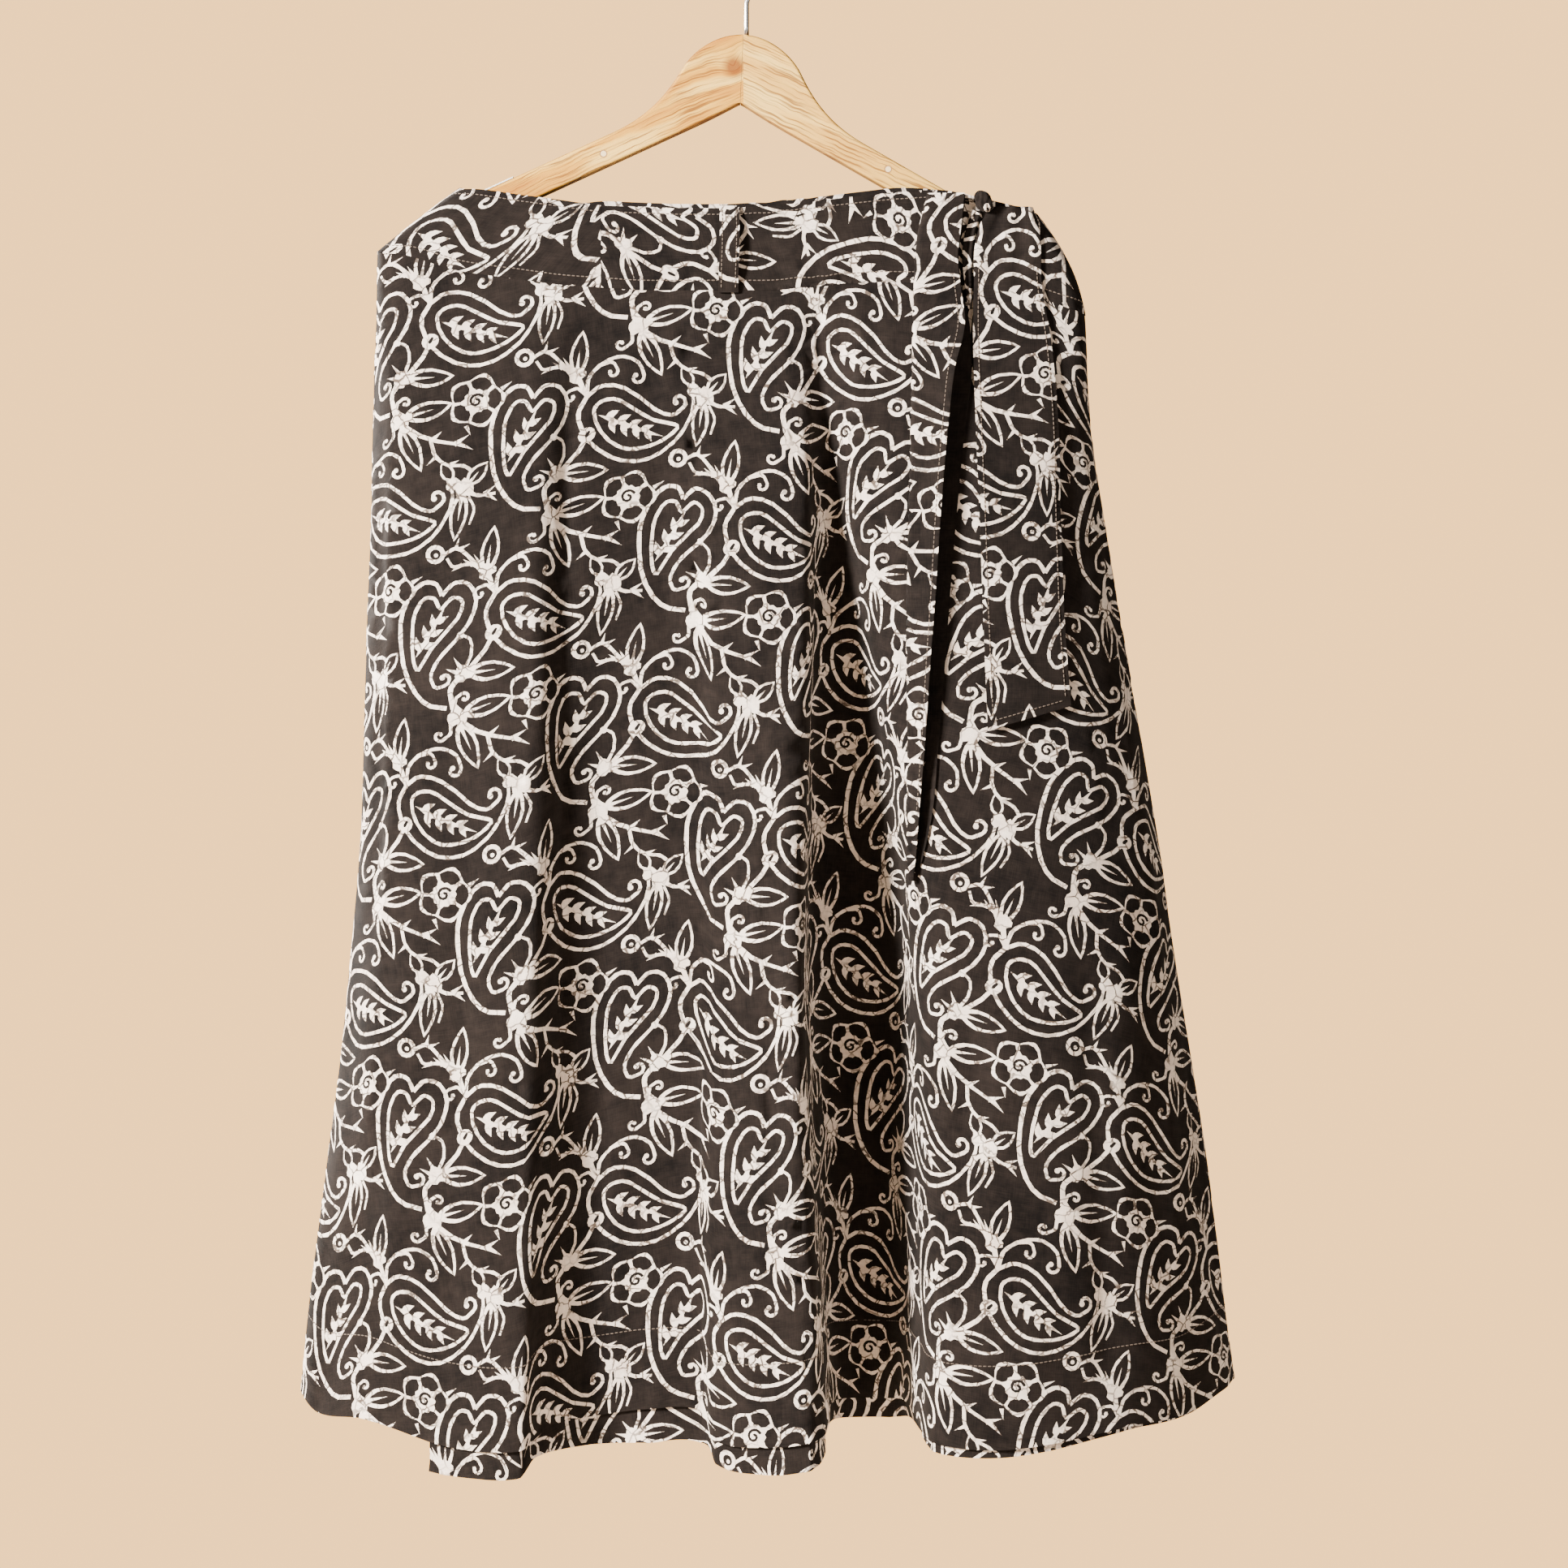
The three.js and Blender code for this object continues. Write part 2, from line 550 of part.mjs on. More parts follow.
function hook() {
  const { rod, inside, foot, straight, start, end, sides, steps, bendSteps } = HOOK;
  const radius = inside + rod / 2;
  const turn = (degrees) => {
    const angle = THREE.MathUtils.degToRad(degrees);
    return new THREE.Vector3(radius * Math.cos(angle), 0, radius * Math.sin(angle) - inside);
  };
  const bottom = new THREE.Vector3(0, 0, HANGER.z + foot);
  const bend = new THREE.Vector3(0, 0, straight);
  const first = turn(start);
  const angle = THREE.MathUtils.degToRad(start);
  const along = new THREE.Vector3(-Math.sin(angle), 0, Math.cos(angle));
  const sBend = new THREE.CubicBezierCurve3(
    bend,
    bend.clone().add(new THREE.Vector3(0, 0, radius / 2)),
    first.clone().addScaledVector(along, -radius / 2),
    first,
  );
  const arc = even(steps).slice(1).map((a) => turn(lerp(start, end, a)));
  const path = new THREE.CatmullRomCurve3([bottom, ...sBend.getPoints(bendSteps), ...arc]);
  const circle = new THREE.EllipseCurve(0, 0, rod / 2, rod / 2).getPoints(sides);
  const section = new THREE.Shape(circle.slice(0, sides));
  return new THREE.ExtrudeGeometry(section, { steps: 2 * steps, extrudePath: path, bevelEnabled: false });
}

// ---- The part -----------------------------------------------------------------------------------------

const print = { color: 0x4a413d, roughness: 0.9, metalness: 0 };
const pine = { color: 0xe2b878, roughness: 0.55, metalness: 0 };
const steel = { color: 0xb9bcc0, roughness: 0.3, metalness: 1 };
const rubber = { color: 0xe9e7e1, roughness: 0.7, metalness: 0 };

function mesh(name, geometry, finish) {
  const made = new THREE.Mesh(geometry, new THREE.MeshStandardMaterial(finish));
  made.name = name;
  return made;
}

const bandCloth = (from, to) =>
  ringCloth({ rings: bandRings, from, to, layer: BAND_LAYER, sewn: ["from", "to"] });
const panelCloth = (from, to) =>
  ringCloth({ rings: panelRings, from, to, layer: PANEL_LAYER, sewn: ["from", "to"] });

const skirt = new THREE.Group();
skirt.add(
  mesh("waistband_front_left", bandCloth(SIDE_LEFT, BAND_JOIN), print),
  mesh("waistband_front_right", bandCloth(BAND_JOIN, SIDE_RIGHT), print),
  mesh("waistband_back", bandCloth(SIDE_RIGHT, LINES.length), print),
  mesh("waistband_under", underBand(), print),
  mesh("belt_loop", beltLoop(), print),
  mesh("panel_outer", panelCloth(SIDE_LEFT, SIDE_RIGHT), print),
  mesh("panel_under", underlap(), print),
  mesh("panel_back", panelCloth(SIDE_RIGHT, LINES.length), print),
  mesh("tie_flat", tieFlat(), print),
  mesh("tie_folded", tieFolded(), print),
  mesh("tie_gather", tieGather(), print),
  mesh("tie_knot", tieKnot(), print),
);

const hanger = new THREE.Group();
hanger.position.set(HANGER.x, 0, HANGER.z);
hanger.rotation.y = HANGER.tilt;
hanger.add(
  mesh("hanger_arm_left", armPlate(-1), pine),
  mesh("hanger_arm_right", armPlate(1), pine),
  mesh("hanger_strip_left", stripPlate(-1), rubber),
  mesh("hanger_strip_right", stripPlate(1), rubber),
);

const part = new THREE.Group();
part.add(skirt, hanger, mesh("hanger_hook", hook(), steel));

export default part;
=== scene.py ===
"""A cotton wrap skirt with a block print, hanging on a wooden hanger. Metres in Blender, millimetres in the
tables. The cloth follows the lines of the CAD model's source, whose table is repeated here."""

import math

import bpy
import numpy as np
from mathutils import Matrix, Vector
from mathutils.geometry import delaunay_2d_cdt


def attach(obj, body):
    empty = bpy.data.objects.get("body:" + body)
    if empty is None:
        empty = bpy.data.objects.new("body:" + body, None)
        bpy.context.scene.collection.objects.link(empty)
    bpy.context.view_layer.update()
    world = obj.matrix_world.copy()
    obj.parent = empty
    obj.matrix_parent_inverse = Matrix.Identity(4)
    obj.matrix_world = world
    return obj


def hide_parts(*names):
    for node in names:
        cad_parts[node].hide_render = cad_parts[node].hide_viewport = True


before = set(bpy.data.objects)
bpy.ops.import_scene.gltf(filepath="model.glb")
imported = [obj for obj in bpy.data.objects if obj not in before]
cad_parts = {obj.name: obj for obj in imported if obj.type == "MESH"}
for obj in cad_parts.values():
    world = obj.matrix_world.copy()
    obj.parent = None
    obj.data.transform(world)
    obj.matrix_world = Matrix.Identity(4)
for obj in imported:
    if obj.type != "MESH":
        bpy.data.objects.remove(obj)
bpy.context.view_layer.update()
MM = 0.001

# ---- The skirt's surface: lines that run down the cloth, in order round it -------------------------------
# Each row: [x, y] at the waistband's top edge, at its seam and at the hip, knee and hem; then the heights of
# the top edge, the seam and the hem; the underlap's drop; the waistband's puff. The first 28 are in front.
ROWS = np.array([
    (-212, 0, -273, 0, -275, 2, -290, 6, -330, 10, -187, -234, -1078, 24, -1),
    (-209, -8, -268, -9, -271, -9, -283, -10, -316, -8, -189, -236, -1091, 24, -1),
    (-196, -12, -251, -13, -259, -20, -265, -29, -278, -36, -190, -238, -1091, 24, 0),
    (-167, -13, -215, -14, -218, -27, -219, -47, -219, -63, -194, -249, -1105, 24, 0),
    (-137, -13, -167, -14, -163, -32, -161, -58, -162, -78, -198, -256, -1106, 20, 0),
    (-123, -13, -137, -14, -142, -28, -143, -48, -147, -62, -200, -260, -1093, 20, 0),
    (-107, -13, -107, -14, -115, -21, -115, -28, -112, -34, -202, -262, -1089, 21, 0),
    (-77, -13, -79, -14, -80, -20, -76, -28, -71, -36, -203, -264, -1083, 25, 0),
    (-51, -13, -51, -14, -41, -22, -34, -34, -34, -42, -204, -264, -1083, 24, 0),
    (-38, -13, -38, -14, -28, -25, -22, -43, -23, -58, -204, -264, -1102, 18, 0),
    (-12, -13, -3, -14, 12, -29, 12, -57, 15, -78, -204, -264, -1104, 20, 0),
    (6, -13, 21, -14, 37, -30, 32, -63, 45, -84, -203, -264, -1100, 20, 0),
    (15, -13, 31, -14, 45, -27, 40, -57, 55, -75, -203, -263, -1097, 20, 0),
    (21, -13, 39, -14, 49, -21, 44, -38, 59, -52, -202, -262, -1090, 18, 0),
    (27, -13, 45, -14, 52, -13, 46, -12, 61, -18, -201, -262, -1086, 16, 0),
    (33, -13, 50, -14, 55, -8, 54, 8, 67, 14, -201, -262, -1085, 15, 0),
    (39, -13, 55, -14, 59, -6, 72, 22, 84, 34, -200, -261, -1087, 15, 0),
    (45, -13, 60, -14, 64, -9, 95, 20, 104, 32, -200, -261, -1087, 15, 0),
    (51, -13, 65, -14, 69, -15, 111, 0, 116, 8, -199, -260, -1085, 12, 0),
    (59, -13, 71, -14, 74, -21, 119, -26, 123, -28, -198, -259, -1090, 10, 0),
    (67, -13, 79, -14, 82, -28, 127, -48, 129, -58, -197, -259, -1099, 8, 0),
    (84, -13, 99, -14, 102, -33, 141, -63, 144, -76, -195, -258, -1103, 7, 0),
    (114, -13, 137, -14, 142, -35, 176, -69, 184, -84, -192, -259, -1104, 6, 0),
    (146, -13, 176, -14, 184, -32, 223, -67, 229, -80, -191, -262, -1099, 5, 0),
    (179, -13, 212, -13, 224, -24, 268, -51, 278, -62, -198, -268, -1091, 3, 0),
    (204, -12, 234, -12, 245, -15, 296, -29, 321, -34, -204, -276, -1087, 2, 5),
    (211, -8, 245, -8, 256, -8, 307, -9, 352, -8, -206, -279, -1074, 2, 6),
    (215, 0, 250, 0, 260, 2, 313, 6, 364, 12, -207, -281, -1069, 2, 6),
    (211, 8, 246, 8, 257, 13, 309, 24, 357, 34, -206, -279, -1068, 0, 6),
    (190, 12, 226, 13, 236, 25, 276, 45, 318, 60, -200, -272, -1076, 0, 4),
    (150, 12, 174, 14, 178, 33, 204, 64, 232, 86, -192, -262, -1086, 0, 0),
    (106, 12, 120, 14, 120, 28, 136, 50, 150, 64, -194, -259, -1088, 0, 0),
    (58, 12, 64, 14, 62, 34, 62, 68, 64, 90, -198, -261, -1091, 0, 0),
    (8, 12, 6, 14, 2, 30, -4, 52, -14, 66, -202, -264, -1091, 0, 0),
    (-42, 12, -52, 14, -56, 33, -68, 65, -88, 88, -203, -264, -1090, 0, 0),
    (-90, 12, -108, 14, -114, 28, -130, 47, -152, 62, -201, -262, -1088, 0, 0),
    (-140, 12, -170, 14, -178, 28, -194, 54, -222, 76, -197, -256, -1087, 0, 0),
    (-184, 12, -232, 13, -240, 21, -252, 36, -286, 50, -191, -242, -1083, 0, 0),
    (-208, 8, -268, 8, -272, 12, -285, 20, -322, 28, -188, -236, -1080, 0, -1),
])
N_LINES = len(ROWS)
LEVELS = np.array([0.0, 0.148, 0.558, 1.0])
TOP_XY, PANEL_XY = ROWS[:, 0:2], ROWS[:, 2:10].reshape(-1, 4, 2)
TOP_Z, SEAM_Z, HEM_Z, DROP, PUFF = ROWS[:, 10:15].T
SEAM_LAP = 0.5  # how far the waistband laps down over the panels
SIDE_LEFT, BAND_JOIN, SIDE_RIGHT = 0.0, 6.0, 27.0
N_FRONT_LINES = 28
PANEL_LENGTH = 850.0  # about, from the seam to the hem
PAST_HEM = 1.05  # the lowest level that the surface is worked out for; the underlap hangs past level 1


def basis(f, span):
    """The four weights of a cubic between two knots: value, slope, value, slope."""
    g = 1 - f
    return (1 + 2 * f) * g * g, f * g * g * span, f * f * (3 - 2 * f), -f * f * g * span


def panel_points(lines, s):
    """Points [x, y, z] of the lines at level s of the panels."""
    k = LEVELS
    P = PANEL_XY[lines]
    s = np.broadcast_to(s, lines.shape)
    i = np.clip(np.searchsorted(k, s, side="right") - 1, 0, 2)
    take = lambda j: np.take_along_axis(P, j[..., None, None], axis=-2)[..., 0, :]

    def slope(j):
        a, b = np.maximum(j - 1, 0), np.minimum(j + 1, 3)
        return (take(b) - take(a)) / (k[b] - k[a])[..., None]

    span = k[i + 1] - k[i]
    w = basis(np.minimum((s - k[i]) / span, 1), span)
    xy = sum(c[..., None] * v for c, v in zip(w, (take(i), slope(i), take(i + 1), slope(i + 1))))
    xy = xy + np.maximum(s - 1, 0)[..., None] * slope(np.full_like(i, 3))
    z = SEAM_Z[lines] + (HEM_Z[lines] - SEAM_Z[lines]) * s
    return np.concatenate([xy, z[..., None]], axis=-1)


def band_points(lines, r):
    """Points of the lines at share r of the way down the waistband."""
    r = np.broadcast_to(r, lines.shape)[..., None]
    xy = TOP_XY[lines] * (1 - r) + PANEL_XY[lines][..., 0, :] * r
    xy[..., 0] += (4 * r * (1 - r))[..., 0] * PUFF[lines]
    z = TOP_Z[lines][..., None] * (1 - r) + (SEAM_Z[lines][..., None] - SEAM_LAP) * r
    return np.concatenate([xy, z], axis=-1)


def across(points_of, t, level):
    """The closed curve through the lines' points, at place t counted in lines."""
    base = np.floor(t).astype(int)
    lines = (base[:, None] + np.array([-1, 0, 1, 2])) % N_LINES
    p = points_of(lines, level[:, None])
    chord = np.hypot(p[:, 1:, 0] - p[:, :-1, 0], p[:, 1:, 1] - p[:, :-1, 1])
    k = np.concatenate([np.zeros((len(t), 1)), np.cumsum(chord, axis=1)], axis=1)
    m0 = (p[:, 2] - p[:, 0]) / (k[:, 2] - k[:, 0])[:, None]
    m1 = (p[:, 3] - p[:, 1]) / (k[:, 3] - k[:, 1])[:, None]
    w = basis(t - base, chord[:, 1])
    return sum(c[:, None] * v for c, v in zip(w, (p[:, 1], m0, p[:, 2], m1)))


NUDGE = 0.02  # the step, in lines, over which the surface's direction is taken


def skin(points_of, t, level, out, lift_of=None):
    """Points of a layer that lies `out` mm outside the skirt's surface, with its creases."""
    p = across(points_of, t, level)
    d = across(points_of, t + NUDGE, level) - across(points_of, t - NUDGE, level)
    size = np.hypot(d[:, 0], d[:, 1])
    n = np.stack([d[:, 1] / size, -d[:, 0] / size, np.zeros(len(t))], axis=1)
    lift = out + (lift_of(t, level, size / (2 * NUDGE)) if lift_of else 0)
    return p + n * np.broadcast_to(lift, t.shape)[:, None]


# ---- Creases -------------------------------------------------------------------------------------------
# Place t and level s of each end, width and depth in mm (a trough is negative).
CREASES = np.array([
    (1.3, 0.10, 1.7, 0.62, 9, -2.0), (2.6, 0.36, 2.3, 0.98, 13, 1.8), (3.3, 0.02, 3.6, 0.22, 8, -1.1),
    (3.35, 0.30, 3.1, 0.93, 11, -1.6), (4.6, 0.02, 4.45, 0.74, 10, 2.0), (5.45, 0.01, 5.4, 0.78, 7, -3.6),
    (6.6, 0.50, 6.4, 0.99, 10, 1.6), (7.2, 0.04, 7.6, 0.36, 9, -1.3), (8.15, 0.58, 8.35, 0.86, 4, 1.4),
    (9.6, 0.08, 9.9, 0.33, 12, 1.2), (10.4, 0.46, 10.1, 0.97, 12, -2.1), (11.2, 0.15, 10.7, 0.42, 9, -1.2),
    (19.2, 0.30, 19.4, 0.70, 7, 1.2), (20.6, 0.02, 20.75, 0.55, 7, -1.6), (21.6, 0.42, 21.2, 0.99, 14, -2.0),
    (22.5, 0.05, 22.8, 0.31, 10, 1.3), (23.4, 0.55, 23.7, 0.96, 13, -2.1), (24.3, 0.12, 24.2, 0.48, 10, -1.4),
    (25.2, 0.36, 25.0, 0.90, 10, 1.6), (26.1, 0.04, 26.3, 0.40, 8, -1.8), (26.5, 0.52, 26.4, 0.97, 9, -1.5),
    (28.4, 0.10, 28.6, 0.60, 8, -2.9), (29.5, 0.42, 29.3, 0.98, 11, 3.0), (30.4, 0.03, 30.7, 0.35, 10, -2.4),
    (31.4, 0.48, 31.2, 0.97, 10, -2.7), (32.3, 0.06, 32.1, 0.55, 9, 2.2), (33.5, 0.30, 33.7, 0.86, 8, -3.2),
    (34.4, 0.05, 34.6, 0.33, 10, 1.9), (35.3, 0.50, 35.1, 0.99, 11, -3.0), (36.2, 0.10, 36.4, 0.62, 8, 2.4),
    (37.3, 0.36, 37.1, 0.92, 10, -2.9), (38.3, 0.06, 38.2, 0.50, 8, 2.1),
    # slanting drags, short and shallow
    (2.0, 0.66, 3.4, 0.74, 7, 0.8), (9.0, 0.70, 10.8, 0.79, 8, -0.9), (22.0, 0.74, 23.6, 0.83, 9, 0.9),
    (24.0, 0.28, 25.3, 0.20, 7, -0.8), (33.0, 0.70, 34.4, 0.78, 8, 1.3), (36.0, 0.80, 37.4, 0.72, 7, -1.4),
])
# A gentle unevenness all round: waves round the skirt, waves down it, phase, height in mm.
RIPPLES = np.array([(5, 1.3, 0.4, 0.35), (9, 2.1, 2.2, 0.35), (13, -1.7, 4.1, 0.3), (21, 3.1, 1.2, 0.22),
                    (34, -4.3, 5.0, 0.14), (47, 6.1, 3.3, 0.1)])
CREASE_GAIN = 1.3
STEEP = 6  # a crease that crosses more lines than this over the panel's length is measured down the cloth
FLARE_FROM, HEM_FLARE = 0.6, 0.8  # below this level the creases deepen, by this share at the hem


def ease(x):
    """A smooth step from 0 to 1."""
    x = np.clip(x, 0, 1)
    return x * x * (3 - 2 * x)


def wrinkle(t, s, per_line):
    """How far the creases lift the cloth, in mm. per_line is the distance in mm from one line to the next."""
    lift = np.zeros(len(t))
    for t0, s0, t1, s1, width, depth in CREASES:
        slant = (t1 - t0) / (s1 - s0)
        if abs(slant) < STEEP:
            e = (s - s0) / (s1 - s0)
            off = ((t - t0 - slant * (s - s0) + N_LINES / 2) % N_LINES - N_LINES / 2) * per_line
        else:
            e = (t - t0) / (t1 - t0)
            off = (s - s0 - (s1 - s0) * e) * PANEL_LENGTH
        along = np.clip(4 * e * (1 - e), 0, None) ** 0.6 * (1 + 0.22 * np.sin(9 * e + t0))
        along = np.where((e > 0) & (e < 1), along, 0)
        lift += depth * along * np.exp(-((off / width) ** 2))
    around = 2 * math.pi * t / N_LINES
    for n, m, phase, height in RIPPLES:
        lift += height * np.sin(n * around + 2 * math.pi * m * s + phase)
    hem_flare = 1 + HEM_FLARE * ease((s - FLARE_FROM) / 0.4)
    return CREASE_GAIN * lift * ease(s / 0.05) * hem_flare


# ---- The print -------------------------------------------------------------------------------------------
# Own drawings of common block-print motifs, in mm, as closed outlines in the order they are laid: cream ones
# and dark ones. One repeat holds them all, and the two steps of the repeat are slanted.
REPEAT = np.array([[125.0, -66.0], [-37.0, -150.0]])
BAND_SHARE = 0.69  # how wide the bands come out against their drawn widths
CREAM, DARK = 1, 0
OUTLINE_TOLERANCE = 0.36  # how far a thinned outline may pass from the drawn one
MOST_SKIPPED = 8  # points that one straight side may take the place of
PRINT = []


def curve(points, closed=False, step=2.4):
    """A smooth curve through the points, in even steps."""
    p = np.array(points, float)
    if closed:
        p = np.vstack([p[-1], p, p[0], p[1]])
    else:
        p = np.vstack([2 * p[0] - p[1], p, 2 * p[-1] - p[-2]])
    f = np.linspace(0, 1, 13)[:-1, None]
    parts = []
    for i in range(1, len(p) - 2):
        m0, m1 = (p[i + 1] - p[i - 1]) / 2, (p[i + 2] - p[i]) / 2
        a, b, c, d = basis(f, 1)
        parts.append(a * p[i] + b * m0 + c * p[i + 1] + d * m1)
    dense = np.vstack(parts + [p[-2:-1]])
    return resample(dense, step)


def resample(path, step):
    """The path again, in even steps."""
    d = np.concatenate([[0], np.cumsum(np.hypot(*np.diff(path, axis=0).T))])
    n = max(int(round(d[-1] / step)), 3)
    at = np.linspace(0, d[-1], n + 1)
    return np.stack([np.interp(at, d, path[:, 0]), np.interp(at, d, path[:, 1])], axis=1)


def ribbon(path, widths, closed=False):
    """The two sides of a path of changing width."""
    if closed:
        ahead, behind = np.roll(path, -1, axis=0), np.roll(path, 1, axis=0)
        d = ahead - behind
    else:
        d = np.gradient(path, axis=0)
    n = np.stack([-d[:, 1], d[:, 0]], axis=1) / np.hypot(d[:, 0], d[:, 1])[:, None]
    half = np.broadcast_to(widths, len(path))[:, None] / 2
    return path + n * half, path - n * half


def lay(colour, outline):
    """Adds an outline to the print, without the points that its straight sides would pass anyway."""
    p = np.array(outline, float)
    kept, i, n = [0], 0, len(p)
    while i < n - 1:
        j = i + 1
        while j < n - 1 and j - i < MOST_SKIPPED:
            d, between = p[j + 1] - p[i], p[i + 1 : j + 1] - p[i]
            off = np.abs(d[0] * between[:, 1] - d[1] * between[:, 0]) / max(np.hypot(*d), 1e-9)
            if off.max() > OUTLINE_TOLERANCE:
                break
            j += 1
        kept.append(j)
        i = j
    PRINT.append((colour, p[kept]))


def at(x, y, angle, points):
    """The points, turned and moved to x and y."""
    c, s = math.cos(angle), math.sin(angle)
    return np.array(points) @ np.array([[c, s], [-s, c]]) + (x, y)


def disc(x, y, radius, n=14, squash=1.0, angle=0.0):
    a = np.linspace(0, 2 * math.pi, n, endpoint=False)
    return at(x, y, angle, np.stack([radius * np.cos(a), squash * radius * np.sin(a)], axis=1))


def ring(points, width):
    """A closed band: cream, with the cloth's own colour inside."""
    path = curve(points, closed=True)[:-1]
    outer, inner = ribbon(path, width * BAND_SHARE, closed=True)
    area = lambda p: abs(np.sum(p[:, 0] * np.roll(p[:, 1], -1) - p[:, 1] * np.roll(p[:, 0], -1)))
    if area(outer) < area(inner):
        outer, inner = inner, outer
    lay(CREAM, outer)
    lay(DARK, inner)


def vine(points, width, end=None, curl=None):
    """An open band through the points, which may end in a curl: radius, turns, hand."""
    path = curve(points)
    if curl:
        radius, turns, hand = curl
        d = path[-1] - path[-2]
        d /= np.hypot(*d)
        centre = path[-1] + hand * radius * np.array([-d[1], d[0]])
        a0 = math.atan2(*(path[-1] - centre)[::-1])
        k = np.linspace(0, 1, max(int(turns * 16), 6))[1:]
        a, r = a0 + hand * 2 * math.pi * turns * k, radius * (1 - 0.66 * k)
        spiral = centre + np.stack([r * np.cos(a), r * np.sin(a)], axis=1)
        path = resample(np.vstack([path, spiral]), 1.7)
    end = width if end is None else end
    widths = np.interp(np.linspace(0, 1, len(path)), [0, 1], [width, end]) * BAND_SHARE
    left, right = ribbon(path, widths)
    lay(CREAM, np.vstack([left, right[::-1]]))
    if curl:
        lay(CREAM, disc(*path[-1], 0.86 * widths[-1], 10))


def leaf(x, y, degrees, length, width, stamen=True):
    """A pointed loop with its own stamen."""
    angle = math.radians(degrees)
    u = np.linspace(0, 1, 10)
    half = np.sin(math.pi * u**0.86) ** 0.8 * width / 2
    upper = np.stack([u * length, half], axis=1)
    outline = np.vstack([upper, (upper * (1, -1))[-2:0:-1]])
    lay(CREAM, at(x, y, angle, outline))
    inner = (outline - (length * 0.56, 0)) * (0.79, 0.68) + (length * 0.57, 0)
    lay(DARK, at(x, y, angle, inner))
    if stamen:
        lay(CREAM, at(x, y, angle, [(0.1 * length, -1.5), (0.34 * length, -0.9), (0.6 * length, 0.3),
                                     (0.34 * length, 0.8), (0.1 * length, 1.5)]))


def thorn(x, y, degrees, length, width=3.2):
    """A short spike that leaves a stem."""
    bend = [(0, -width / 2), (length * 0.45, -width * 0.22), (length, width * 0.16),
            (length * 0.5, width * 0.3), (0, width / 2)]
    lay(CREAM, at(x, y, math.radians(degrees), bend))


# A lobe's outline: how far along its pitch and how far out, as a share of its reach.
LOBE = ((0.0, 0.2), (0.08, 0.62), (0.3, 0.92), (0.84, 1.18), (0.66, 0.72), (0.58, 0.36), (0.72, 0.2))


def feather(a, b, lobes, width):
    """A lobed leaf from a to b: pointed lobes that sweep forward from a stout rib."""
    a, b = np.array(a, float), np.array(b, float)
    length = np.hypot(*(b - a))
    pitch = 1.0 / (lobes + 0.4)
    left, right = [], []
    for k in range(lobes):
        reach = width / 2 * (1.0 - 0.5 * (k / lobes) ** 1.5)
        for lobes_of, shift in ((left, 0.0), (right, 0.38 * pitch)):
            u = k * pitch + shift
            lobes_of += [((u + du * pitch) * length, v * reach) for du, v in LOBE]
    outline = [(-0.14 * length, 0.6), *left, (1.12 * length, 0.2), *[(u, -v) for u, v in right[::-1]]]
    lay(CREAM, at(a[0], a[1], math.atan2(*(b - a)[::-1]), outline))


def blot(x, y, radius, seed):
    """A joint where stems meet."""
    a = np.linspace(0, 2 * math.pi, 14, endpoint=False)
    r = radius * (1 + 0.16 * np.sin(3 * a + seed) + 0.1 * np.sin(5 * a + 2 * seed))
    lay(CREAM, np.stack([x + r * np.cos(a), y + r * np.sin(a)], axis=1))


def draw_boat():
    """The lying paisley, its scrolls and the sprigs round it."""
    vine([(-31, 10), (-22, 19), (-8, 20), (8, 13), (22, 4), (34, 2), (41, 9)], 4.2, 3.6, (6.3, 0.72, 1))
    vine([(-31, 10), (-35, -3), (-30, -16), (-18, -28), (2, -36), (22, -33), (38, -19), (46, -2), (48, 12),
          (45, 24)], 4.4, 3.4)
    lay(CREAM, disc(-26, -19, 6.6, 12, 0.85, 0.8))
    lay(DARK, disc(-25.6, -18.2, 3.0, 9, 0.5, 1.2))
    ring([(-24, 1), (-19, 8), (-9, 10), (5, 4), (20, -3), (37, -5), (38.5, -8.5), (31, -17), (19, -24),
          (5, -27), (-9, -22), (-20, -11)], 3.7)
    feather((-15, -5), (25, -14), 4, 15)
    vine([(-31, 12), (-32, 24), (-24, 36), (-11, 43), (2, 40), (8, 31)], 4.0, 3.2, (5.6, 0.72, -1))
    vine([(-26, 34), (-17, 38), (-12, 33)], 3.4, 2.8, (4.6, 0.62, -1))
    vine([(-33, 12), (-39, 16), (-45, 13)], 3.2, 2.8, (4.8, 0.7, 1))
    vine([(-26, -21), (-30, -33), (-38, -46)], 4.2, 5.0)


